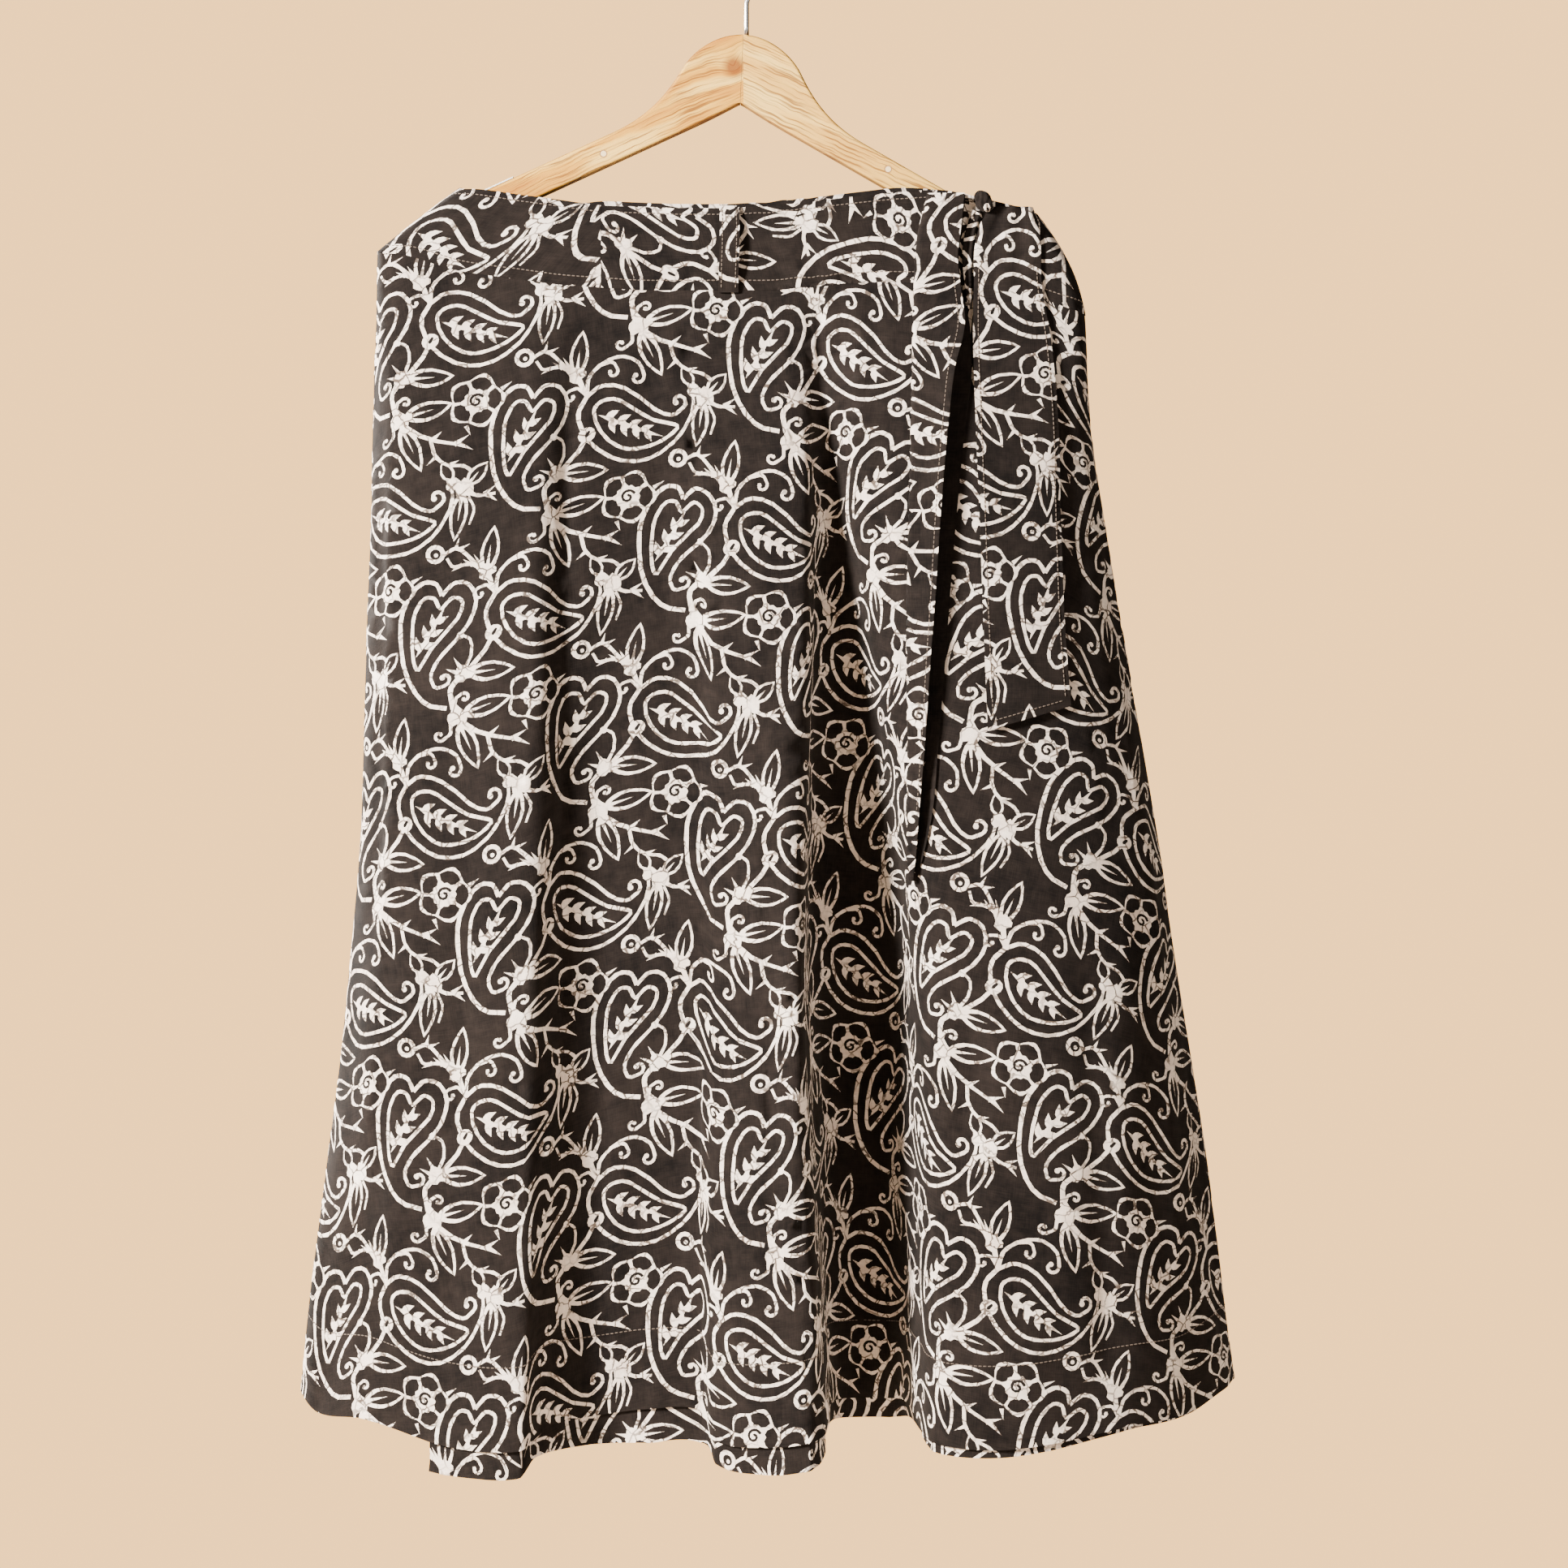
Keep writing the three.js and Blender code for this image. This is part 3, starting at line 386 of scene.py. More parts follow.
def draw_sprigs():
    """The leaves, blots and thorny stems between the paisleys."""
    leaf(-41, 24, 92, 36, 14)
    blot(-41, 26, 6.2, 0.4)
    vine([(-41, 26), (-36, 18), (-31, 10)], 6.0, 4.4)
    vine([(-42, 27), (-54, 31), (-66, 28), (-72, 34)], 4.2, 3.0)
    thorn(-52, 30, 150, 9)
    thorn(-60, 30, 215, 9)
    thorn(-46, 30, 128, 11)
    blot(-42, -50, 6.4, 1.3)
    leaf(-40, -50, 10, 36, 15)
    vine([(-42, -48), (-39, -36), (-42, -25), (-49, -22)], 3.6, 2.6)
    lay(CREAM, disc(-50, -22.4, 2.7, 9))
    thorn(-45, -46, 130, 10)
    thorn(-47, -50, 165, 9)
    vine([(-44, -53), (-49, -63), (-44, -77)], 5.0, 5.4)
    blot(-40, -82, 7.2, 2.1)
    leaf(-37, -80, 24, 38, 15)
    leaf(-38, -86, -56, 40, 15)
    vine([(-40, -84), (-22, -92), (-4, -95), (9, -96)], 5.6, 3.2)
    thorn(4, -96, 36, 12, 4)
    thorn(6, -95, -24, 13, 4)
    thorn(-12, -93, 48, 8)
    vine([(-42, -78), (-44, -70), (-40, -65)], 3.6, 2.8, (4.0, 0.7, -1))
    vine([(-44, -86), (-42, -95), (-47, -101)], 3.8, 2.8, (4.4, 0.7, -1))
    vine([(-14, -94), (-8, -106), (2, -112), (14, -112), (24, -118)], 3.8, 3.4)
    thorn(-7, -106, 230, 10)
    thorn(3, -112, 28, 8)
    blot(46, 24, 5.4, 0.9)
    blot(55, 21, 6.6, 2.7)
    leaf(56, 23, 58, 22, 12)
    leaf(45, 26, 128, 17, 10, False)
    vine([(57, 19), (66, 16), (78, 18)], 4.4, 3.0)
    thorn(70, 17, 42, 10, 3.6)
    thorn(72, 17, -32, 10, 3.6)
    leaf(54, 19, -88, 38, 13)
    vine([(59, 15), (65, 6), (64, -6)], 3.0, 2.0)
    lay(CREAM, disc(44, -30, 7.2, 14))
    lay(DARK, disc(44, -30, 4.0, 12))
    lay(CREAM, disc(44.6, -30.6, 1.6, 8))
    vine([(50, -30), (58, -24), (68, -29), (80, -40)], 3.4, 4.4)
    thorn(60, -25, 30, 9)
    thorn(58, -25, 82, 9)


def draw_heart(x, y):
    """The standing paisley with a notched top."""
    move = lambda points: [(x + a, y + b) for a, b in points]
    vine(move([(3, 26), (-3, 34), (-13, 33), (-21, 21), (-24, 3), (-20, -18), (-13, -36), (-2, -50),
               (10, -57), (24, -57)]), 4.4, 4.8)
    vine(move([(3, 26), (10, 36), (21, 36), (29, 25), (28, 9), (20, -7), (11, -20), (7, -34), (12, -43),
               (20, -40)]), 4.2, 3.4, (5.2, 0.62, 1))
    ring(move([(4, 16), (-2, 23), (-10, 21), (-14.5, 8), (-13, -9), (-9, -25), (-4, -33), (-1, -26), (4, -13),
               (12, 0), (19, 12), (19, 23), (11, 25)]), 3.7)
    feather((x - 5, y - 19), (x + 6, y + 15), 3, 14)


def draw_flower(x, y):
    """Five petals, open in the cloth's own colour, round a swirl."""
    a = np.linspace(0, 2 * math.pi, 60, endpoint=False)
    r = 19.0 + 2.2 * np.sin(5 * a + 0.9)
    lay(CREAM, np.stack([x + r * np.cos(a), y + r * np.sin(a)], axis=1))
    for k in range(5):
        middle = (2 * math.pi * k + math.pi / 2 - 0.9) / 5 + 0.06 * math.sin(7 * k)
        b = np.linspace(-0.54, 0.54, 10)
        far = 15.9 + 2.5 * np.cos(b * 3.1)
        near = 10.6 - 2.2 * np.cos(b * 3.1) + 0.9 * np.cos(b * 9.3)
        outer = np.stack([far * np.cos(middle + b), far * np.sin(middle + b)], axis=1)
        inner = np.stack([near * np.cos(middle + b), near * np.sin(middle + b)], axis=1)
        lay(DARK, np.vstack([outer, inner[::-1]]) + (x, y))
    k = np.linspace(0, 1, 22)
    turn = 0.6 + 2 * math.pi * 1.25 * k
    path = np.stack([x + (5.6 - 4.6 * k) * np.cos(turn), y + (5.6 - 4.6 * k) * np.sin(turn)], axis=1)
    left, right = ribbon(path, 1.9)
    lay(DARK, np.vstack([left, right[::-1]]))
    thorn(x + 17, y + 9, 38, 9)
    thorn(x - 4, y - 19, -62, 8)


draw_boat()
draw_sprigs()
draw_heart(-73, -20)
draw_flower(14, -63)
TO_REPEAT = np.linalg.inv(REPEAT)


def even_odd(points, outline):
    """Which points lie inside an outline."""
    x, y = points[:, 0:1], points[:, 1:2]
    x0, y0 = outline[:, 0], outline[:, 1]
    x1, y1 = np.roll(x0, -1), np.roll(y0, -1)
    hit = (y0 > y) != (y1 > y)
    with np.errstate(divide="ignore", invalid="ignore"):
        cut = x0 + (y - y0) * (x1 - x0) / (y1 - y0)
    return (np.sum(hit & (x < cut), axis=1) % 2) == 1


def colour_at(points):
    """The print's colour at places in the print's own plane."""
    cell = np.floor(points @ TO_REPEAT)
    local = points - cell @ REPEAT
    corners = np.array([[0, 0], REPEAT[0], REPEAT[1], REPEAT[0] + REPEAT[1]])
    low, high = corners.min(0), corners.max(0)
    colour = np.full(len(points), DARK)
    for tone, outline in PRINT:
        p_low, p_high = outline.min(0), outline.max(0)
        for i in range(-2, 3):
            for j in range(-2, 3):
                shift = i * REPEAT[0] + j * REPEAT[1]
                if np.any(p_low + shift > high) or np.any(p_high + shift < low):
                    continue
                near = np.all((local >= p_low + shift) & (local <= p_high + shift), axis=1)
                where = np.nonzero(near)[0]
                if len(where):
                    colour[where[even_odd(local[where], outline + shift)]] = tone
    return colour


# ---- Flat cuts -------------------------------------------------------------------------------------------
class RoundCut:
    """Cloth that goes round the skirt, between two places on its lines. Its flat cut is a sector, or a
    straight strip, whose width at each level is the distance round the skirt there."""

    def __init__(self, points_of, span, length, straight=False, warp=None, foot=None, fan=1.0):
        self.points_of, self.span, self.length, self.straight = points_of, span, length, straight
        self.warp = warp or (lambda t, s: t)
        self.foot = foot or (lambda t: np.ones(len(t)))
        self.t = np.linspace(*span, int((span[1] - span[0]) * 16) + 1)
        self.levels = np.linspace(0, PAST_HEM, 43)
        rows = []
        for s in self.levels:
            p = across(points_of, self.warp(self.t, np.full(len(self.t), s)), np.full(len(self.t), s))
            rows.append(np.concatenate([[0], np.cumsum(np.linalg.norm(np.diff(p, axis=0), axis=1))]))
        self.arcs = np.array(rows)
        self.top, self.low = self.arcs[0, -1], np.interp(1.0, self.levels, self.arcs[:, -1])
        self.arcs -= self.arcs[:, len(self.t) // 2][:, None]
        self.radius = None if straight else length * self.top / (self.low - self.top) / fan

    def by_level(self, s, value, inverse):
        """The distance round at place t and level s or, if inverse, the place at that distance."""
        step = self.levels[1]
        k = np.clip(np.floor(s / step).astype(int), 0, len(self.levels) - 2)
        f = s / step - k
        out = np.empty(len(value))
        for i in np.unique(k):
            m = k == i
            a, b = self.arcs[i], self.arcs[i + 1]
            if inverse:
                va, vb = np.interp(value[m], a, self.t), np.interp(value[m], b, self.t)
            else:
                va, vb = np.interp(value[m], self.t, a), np.interp(value[m], self.t, b)
            out[m] = va + f[m] * (vb - va)
        return out

    def flat(self, ts):
        u = self.by_level(ts[:, 1], ts[:, 0], False)
        if self.straight:
            return np.stack([u, -ts[:, 1] * self.length], axis=1)
        r = self.radius + ts[:, 1] * self.length
        return np.stack([r * np.sin(u / r), self.radius - r * np.cos(u / r)], axis=1)

    def raw(self, xy):
        """A flat place's distance round and its level."""
        if self.straight:
            return xy[:, 0], -xy[:, 1] / self.length
        r = np.hypot(xy[:, 0], self.radius - xy[:, 1])
        return np.arctan2(xy[:, 0], self.radius - xy[:, 1]) * r, (r - self.radius) / self.length

    def place(self, xy):
        u, s = self.raw(xy)
        s = np.clip(s, 0, PAST_HEM)
        t = self.by_level(s, u, True)
        return np.stack([t, np.minimum(s, self.foot(t))], axis=1)

    def inside(self, xy, margin=0.0):
        u, s = self.raw(xy)
        e = margin / self.length
        level = np.clip(s, 0, PAST_HEM)
        first = self.by_level(level, np.full(len(u), self.span[0]), False)
        last = self.by_level(level, np.full(len(u), self.span[1]), False)
        t = self.by_level(level, u, True)
        return (u > first - margin) & (u < last + margin) & (s > -e) & (s < self.foot(t) + e)

    def edge(self):
        """The outline of the flat cut, as places (t, s)."""
        a, b = self.span
        n, m = int((b - a) * 10), int(self.length / 6)
        down, over = np.linspace(0, 1, m + 1)[:-1], np.linspace(a, b, n + 1)[:-1]
        foot = lambda t: self.foot(np.atleast_1d(np.asarray(t, float)))
        back = np.linspace(b, a, n + 1)[:-1]
        return np.vstack([np.stack([np.full(m, a), down * foot(a)], 1), np.stack([over, foot(over)], 1),
                          np.stack([np.full(m, b), (1 - down) * foot(b)], 1),
                          np.stack([back, np.zeros(n)], 1)])

    def spot(self, ts, out):
        t = self.warp(ts[:, 0], ts[:, 1])
        return skin(self.points_of, t, ts[:, 1], out, skin_lift(self.points_of))


class StripCut:
    """Cloth given by two functions of (across, down): its flat place and its place in space."""

    def __init__(self, flat, place, spot, columns=14, rows=60):
        self.flat, self.place, self.spot = flat, place, spot
        self.columns, self.rows = columns, rows

    def inside(self, xy, margin=0.0):
        ab = self.place(xy)
        near = self.flat(np.clip(ab, 0, 1))
        return np.hypot(*(near - xy).T) <= max(margin, 1e-6)

    def edge(self):
        a, b = np.linspace(0, 1, self.columns + 1)[:-1], np.linspace(0, 1, self.rows + 1)[:-1]
        side = lambda u, v: np.stack(np.broadcast_arrays(u, v), axis=1)
        return np.vstack([side(0.0, b), side(a, 1.0), side(1.0, 1 - b), side(1 - a, 0.0)])


def triangulate(cut, turn, shift, grid):
    """The cut divided along the print's outlines: its places, triangles and their colours."""
    c, s = math.cos(turn), math.sin(turn)
    spin = np.array([[c, s], [-s, c]])
    to_print = lambda xy: xy @ spin + shift
    to_flat = lambda xy: (xy - shift) @ spin.T
    edge = cut.flat(cut.edge())
    low, high = to_print(edge).min(0) - 90, to_print(edge).max(0) + 90
    corners = np.array([(x, y) for x in (low[0], high[0]) for y in (low[1], high[1])]) @ TO_REPEAT
    (i0, j0), (i1, j1) = np.floor(corners.min(0)).astype(int), np.ceil(corners.max(0)).astype(int)
    count = len(edge)
    points, edges = [edge], [(i, (i + 1) % count) for i in range(count)]
    cells = np.array([(i, j) for i in range(i0, i1 + 1) for j in range(j0, j1 + 1)]) @ REPEAT
    for _, outline in PRINT:
        copies = to_flat((cells[:, None] + outline[None]).reshape(-1, 2))
        used = cut.inside(copies, 3.0).reshape(len(cells), -1).any(axis=1)
        for one in copies.reshape(len(cells), -1, 2)[used]:
            points.append(one)
            edges += [(count + i, count + (i + 1) % len(one)) for i in range(len(one))]
            count += len(one)
    xs, ys = (np.arange(edge[:, k].min() + grid / 2, edge[:, k].max(), grid) for k in (0, 1))
    mesh_x, mesh_y = np.meshgrid(xs, ys)
    mesh_x[::2] += grid / 2
    inner = np.stack([mesh_x.ravel(), mesh_y.ravel()], axis=1)
    points.append(inner[cut.inside(inner, -grid * 0.3) if isinstance(cut, RoundCut) else cut.inside(inner)])
    flat = np.vstack(points)
    made = delaunay_2d_cdt([Vector(p) for p in flat.tolist()], edges, [], 0, 1e-4, False)
    verts = np.array([tuple(v) for v in made[0]])
    tris = np.array(made[2])
    middle = verts[tris].mean(axis=1)
    kept = cut.inside(middle)
    tris, middle = tris[kept], middle[kept]
    used, tris = np.unique(tris, return_inverse=True)
    return verts[used], tris.reshape(-1, 3), colour_at(to_print(middle))


def rim(tris):
    """The edges that only one triangle uses."""
    e = np.vstack([tris[:, [0, 1]], tris[:, [1, 2]], tris[:, [2, 0]]])
    key = np.sort(e, axis=1)
    _, first, count = np.unique(key, axis=0, return_index=True, return_counts=True)
    return e[first[count == 1]]


def mesh_object(name, verts, faces, normals=None, tones=None, uv=None, uv_flat=None, materials=()):
    """An object of points in mm. The faces are an array of triangles, or a list with any number of sides."""
    mesh = bpy.data.meshes.new(name)
    sizes = np.array([len(f) for f in faces])
    loops = np.concatenate([np.asarray(f) for f in faces])
    mesh.vertices.add(len(verts))
    mesh.vertices.foreach_set("co", (np.asarray(verts) * MM).astype(np.float32).ravel())
    mesh.loops.add(len(loops))
    mesh.loops.foreach_set("vertex_index", loops.astype(np.int32))
    mesh.polygons.add(len(sizes))
    mesh.polygons.foreach_set("loop_start", np.concatenate([[0], np.cumsum(sizes)[:-1]]).astype(np.int32))
    if tones is not None:
        mesh.polygons.foreach_set("material_index", tones.astype(np.int32))
    for layer, values in (("OFBake", uv), ("Flat", uv_flat)):
        if values is not None:
            made = mesh.uv_layers.new(name=layer)
            made.data.foreach_set("uv", values[loops].astype(np.float32).ravel())
    mesh.update(calc_edges=True)
    mesh.polygons.foreach_set("use_smooth", np.ones(len(sizes), bool))
    if normals is not None:
        mesh.normals_split_custom_set_from_vertices(normals.tolist())
    obj = bpy.data.objects.new(name, mesh)
    bpy.context.scene.collection.objects.link(obj)
    for m in materials:
        mesh.materials.append(m)
    return obj


def cloth(name, cut, layer, print_place, replaces, grid=10.5, painted_shade_share=0.0):
    """A thin shell of printed cloth. layer is how far out its two faces lie, in mm. The share of its width
    given last, counted from its first edge, takes no print: it gets the dark ground colour as painted shade,
    where the inside of a fold lies in shadow."""
    turn, x, y = print_place
    flat, tris, tones = triangulate(cut, math.radians(turn), np.array([x, y], float), grid)
    ab = cut.place(flat)
    # Painted shade: faces in that share of the width get the dark ground colour in place of the print.
    tones = np.where(ab[tris, 0].mean(axis=1) < painted_shade_share, DARK, tones) if painted_shade_share else tones
    outer, inner = cut.spot(ab, layer[0]), cut.spot(ab, layer[1])
    e = 1e-3
    step_a, step_b = ab + (e, 0), ab + (0, e)
    n = np.cross(cut.spot(step_b, layer[0]) - outer, cut.spot(step_a, layer[0]) - outer)
    size = np.linalg.norm(n, axis=1)[:, None]
    apart = outer - inner
    n = np.where(size > 1e-12, n / np.maximum(size, 1e-12), apart / np.linalg.norm(apart, axis=1)[:, None])
    if np.mean(np.einsum("ij,ij->i", n, outer - inner)) < 0:
        n = -n
    facing = np.cross(outer[tris[:, 1]] - outer[tris[:, 0]], outer[tris[:, 2]] - outer[tris[:, 0]])
    if np.sum(np.einsum("ij,ij->i", facing, n[tris[:, 0]])) < 0:
        tris = tris[:, ::-1]
    sides = rim(tris)
    m = len(flat)
    walls = np.vstack([np.stack([sides[:, 1], sides[:, 0], sides[:, 0] + m], 1),
                       np.stack([sides[:, 1], sides[:, 0] + m, sides[:, 1] + m], 1)])
    faces = np.vstack([tris, tris[:, ::-1] + m, walls])
    colours = np.concatenate([tones, tones, np.full(len(walls), DARK)])
    size = np.ptp(flat, axis=0)
    scale = min(0.98 / size[0], 0.48 / size[1])
    uv = (flat - flat.min(0)) * scale + 0.01
    obj = mesh_object(name, np.vstack([outer, inner]), faces, np.vstack([n, -n]), colours,
                      np.vstack([uv, uv + (0, 0.5)]), np.vstack([flat, flat]) * MM,
                      (COTTON_DARK, COTTON_CREAM))
    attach(obj, "root")
    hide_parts(replaces)
    return obj


# ---- Materials -------------------------------------------------------------------------------------------
class Nodes:
    """A short way to write a material's node tree."""

    def __init__(self, name):
        self.material = bpy.data.materials.new(name)
        self.material.use_nodes = True
        self.tree = self.material.node_tree
        self.shader = self.tree.nodes["Principled BSDF"]

    def put(self, kind, inputs=None, **settings):
        node = self.tree.nodes.new("ShaderNode" + kind)
        for key, value in settings.items():
            setattr(node, key, value)
        for key, value in (inputs or {}).items():
            if isinstance(value, bpy.types.NodeSocket):
                self.tree.links.new(value, node.inputs[key])
            else:
                node.inputs[key].default_value = value
        return node.outputs[0] if node.outputs else node

    def place(self):
        """Where a point of the surface lies in its object, in metres."""
        self.put("TexCoord")
        return self.tree.nodes[-1].outputs["Object"]

    def length_of(self, vector):
        self.put("VectorMath", {0: vector}, operation="LENGTH")
        return self.tree.nodes[-1].outputs["Value"]

    def split(self, vector):
        node = self.tree.nodes.new("ShaderNodeSeparateXYZ")
        self.tree.links.new(vector, node.inputs[0])
        return node.outputs

    def math(self, operation, a, b=0.0, c=0.0):
        return self.put("Math", {0: a, 1: b, 2: c}, operation=operation)

    def scaled(self, vector, scale):
        return self.put("VectorMath", {0: vector, 1: scale}, operation="MULTIPLY")

    def noise(self, vector, scale, detail=2.0, roughness=0.5, distortion=0.0):
        return self.put("TexNoise", {"Vector": vector, "Scale": scale, "Detail": detail,
                                     "Roughness": roughness, "Distortion": distortion})

    def span(self, value, low, high, out_low=0.0, out_high=1.0):
        return self.put("MapRange", {0: value, 1: low, 2: high, 3: out_low, 4: out_high})

    def mix(self, factor, a, b, blend="MIX"):
        node = self.tree.nodes.new("ShaderNodeMix")
        node.data_type, node.blend_type = "RGBA", blend
        for key, value in ((0, factor), (6, a), (7, b)):
            if isinstance(value, bpy.types.NodeSocket):
                self.tree.links.new(value, node.inputs[key])
            else:
                node.inputs[key].default_value = value
        return node.outputs[2]

    def finish(self, colour, roughness, bumps=(), **fixed):
        self.tree.links.new(colour, self.shader.inputs["Base Color"])
        if isinstance(roughness, bpy.types.NodeSocket):
            self.tree.links.new(roughness, self.shader.inputs["Roughness"])
        else:
            self.shader.inputs["Roughness"].default_value = roughness
        normal = None
        for height, strength, distance in bumps:
            inputs = {"Height": height, "Strength": strength, "Distance": distance}
            if normal is not None:
                inputs["Normal"] = normal
            normal = self.put("Bump", inputs)
        if normal is not None:
            self.tree.links.new(normal, self.shader.inputs["Normal"])
        for key, value in fixed.items():
            self.shader.inputs[key.replace("_", " ")].default_value = value
        return self.material


def srgb(r, g, b):
    """A screen colour, 0 to 255, as a shader's linear one."""
    one = lambda c: (c / 255 / 12.92) if c / 255 <= 0.04045 else ((c / 255 + 0.055) / 1.055) ** 2.4
    return (one(r), one(g), one(b), 1.0)


def cotton(name, deep, pale, crackle):
    """Plain-woven cotton. Its weave runs along the flat cut. Wax that cracked leaves thin dark lines."""
    n = Nodes(name)
    flat = n.put("UVMap", uv_map="Flat")
    blotch = n.noise(n.scaled(flat, (1, 1, 1)), 11.0, 3.0, 0.6, 0.3)
    mottle = n.noise(flat, 95.0, 3.0, 0.65)
    slub_x = n.noise(n.scaled(flat, (60, 1500, 1)), 1.0, 2.0)
    slub_y = n.noise(n.scaled(flat, (1500, 60, 1)), 1.0, 2.0)
    weave = n.math("ADD", slub_x, slub_y)
    amount = n.math("MULTIPLY_ADD", n.math("ADD", blotch, mottle), 0.5, 0.0)
    amount = n.math("MULTIPLY_ADD", weave, 0.28, n.math("SUBTRACT", amount, 0.28))
    colour = n.mix(n.span(amount, 0.34, 0.66), deep, pale)
    if crackle:
        speckle = n.put("TexNoise", {"Vector": flat, "Scale": 240.0})
        jitter = n.put("VectorMath", {0: speckle, 1: (0.004,) * 3}, operation="MULTIPLY")
        where = n.put("VectorMath", {0: flat, 1: jitter}, operation="ADD")
        cells = n.tree.nodes.new("ShaderNodeTexVoronoi")
        cells.feature = "DISTANCE_TO_EDGE"
        cells.inputs["Scale"].default_value = 118.0
        n.tree.links.new(where, cells.inputs["Vector"])
        line = n.span(cells.outputs["Distance"], 0.028, 0.08, 1.0, 0.0)
        patchy = n.span(n.noise(flat, 60.0, 1.0), 0.3, 0.55)
        line = n.math("MULTIPLY", n.math("MULTIPLY", line, patchy), 0.92)
        colour = n.mix(line, colour, crackle)
    return n.finish(colour, 0.88, [(weave, 0.35, 0.0004), (mottle, 0.12, 0.0006)], Sheen_Weight=0.03,
                    Sheen_Roughness=0.5, Specular_IOR_Level=0.08)


COTTON_DARK = cotton("cotton_charcoal", srgb(13, 10, 9), srgb(36, 30, 27), None)
COTTON_CREAM = cotton("cotton_cream", srgb(216, 197, 182), srgb(255, 242, 229), srgb(58, 44, 35))


def thread_material(name, deep, pale):
    n = Nodes(name)
    twist = n.noise(n.place(), 900.0, 1.0)
    return n.finish(n.mix(twist, deep, pale), 0.7, [(twist, 0.3, 0.0002)], Sheen_Weight=0.1)


THREAD = thread_material("thread_brown", srgb(62, 52, 46), srgb(122, 106, 92))


# In metres: how far left of x = 0 the arms meet, what takes the knot's place to the origin, and the [x, z] of
# the two plugs. The grain falls by its slope along each arm.
ARMS_MEET, KNOT_TO_ORIGIN = 0.0024, (0.0092, 0.0, 0.0985)
GRAIN_SLOPE = 0.46
PLUGS = ((0.1044, -0.174), (-0.1056, -0.1626))


def wood():
    """Pale pine: long grain that runs down each arm, a knot by the joint, two flush plugs.
    The rounded edges and sides carry painted shade.
    """
    n = Nodes("pine")
    place = n.place()
    x, y, z = n.split(place)
    side = n.math("ABSOLUTE", n.math("ADD", x, ARMS_MEET))
    # Across and along the grain, which follows the arm's slope. The two arms are cut from different boards.
    across_grain = n.math("MULTIPLY_ADD", side, GRAIN_SLOPE, z)
    along = n.math("MULTIPLY_ADD", z, -GRAIN_SLOPE, side)
    left = n.math("LESS_THAN", x, -ARMS_MEET)
    grain_at = n.put("CombineXYZ", {0: n.math("MULTIPLY", along, 5.0),
                                    1: n.math("MULTIPLY_ADD", left, 3.0, y),
                                    2: across_grain})
    bend = n.noise(grain_at, 9.0, 2.0, 0.5)
    knot = n.put("VectorMath", {0: n.put("VectorMath", {0: place, 1: KNOT_TO_ORIGIN}, operation="ADD"),
                                1: (1, 0.35, 1)}, operation="MULTIPLY")
    far = n.length_of(knot)
    pull = n.math("MULTIPLY", n.math("EXPONENT", n.math("MULTIPLY", far, -95.0)), left)
    bent = n.math("MULTIPLY_ADD", bend, 0.005, across_grain)
    ring_at = n.math("ADD", bent, n.math("MULTIPLY", pull, 0.016))
    fibres = n.noise(n.put("CombineXYZ", {0: n.math("MULTIPLY", along, 40.0), 1: y,
                                           2: n.math("MULTIPLY", across_grain, 1600.0)}), 1.0, 3.0)

    def board(length, apart, rings):
        return n.put("CombineXYZ", {0: n.math("MULTIPLY", along, length),
                                    1: n.math("MULTIPLY_ADD", left, apart, y),
                                    2: n.math("MULTIPLY", ring_at, rings)})

    streaks = n.noise(board(17.0, 3.0, 560.0), 1.0, 3.0, 0.6)
    broad = n.noise(board(9.0, 5.0, 75.0), 1.0, 2.0)
    dark = n.span(streaks, 0.5, 0.62)
    colour = n.mix(fibres, srgb(230, 174, 62), srgb(206, 144, 42))
    colour = n.mix(n.math("MULTIPLY", n.span(broad, 0.5, 0.34), 0.7), colour, srgb(246, 208, 114))
    colour = n.mix(n.math("MULTIPLY_ADD", left, -0.35, 0.35), colour, srgb(248, 212, 126))
    amber = n.math("MULTIPLY", n.span(broad, 0.47, 0.66), n.math("MULTIPLY_ADD", left, 0.5, 0.25))
    colour = n.mix(amber, colour, srgb(172, 100, 20))
    colour = n.mix(n.math("MULTIPLY", dark, 0.8), colour, srgb(112, 60, 12))
    eye = n.span(n.math("MULTIPLY_ADD", streaks, 0.006, far), 0.0075, 0.0135, 1.0, 0.0)
    colour = n.mix(n.math("MULTIPLY", n.math("MULTIPLY", eye, left), 0.85), colour, srgb(122, 58, 12))
    for px, pz in PLUGS:
        apart = n.put("VectorMath", {0: n.put("VectorMath", {0: place, 1: (px, 0, pz)}, operation="SUBTRACT"),
                                     1: (1, 0, 1)}, operation="MULTIPLY")
        spot = n.length_of(apart)
        colour = n.mix(n.span(spot, 0.0026, 0.0032, 1.0, 0.0), colour, srgb(150, 108, 64))
        colour = n.mix(n.span(spot, 0.0019, 0.0023, 1.0, 0.0), colour, srgb(240, 212, 164))
    # Painted shade: where the normal turns away from the arm's flat faces, on its rounded edges and sides,
    # the wood is darkened to dark brown.
    n.put("NewGeometry")
    facing = n.split(n.tree.nodes[-1].outputs["Normal"])
    edge = n.span(n.math("ABSOLUTE", facing[1]), 0.4, 0.92, 0.8, 0.0)
    colour = n.mix(edge, colour, srgb(104, 62, 20))
    rough = n.span(fibres, 0.0, 1.0, 0.42, 0.58)
    return n.finish(colour, rough, [(fibres, 0.14, 0.0005), (dark, 0.06, 0.0006)], Coat_Weight=0.05,
                    Coat_Roughness=0.35, Specular_IOR_Level=0.3)


def steel():
    """Wire with fine scratches along it."""
    n = Nodes("steel")
    scratch = n.noise(n.scaled(n.place(), (900, 900, 60)), 1.0, 2.0)
    colour = n.mix(scratch, srgb(150, 150, 150), srgb(205, 205, 205))
    return n.finish(colour, n.span(scratch, 0, 1, 0.24, 0.42), [(scratch, 0.08, 0.0002)], Metallic=1.0)


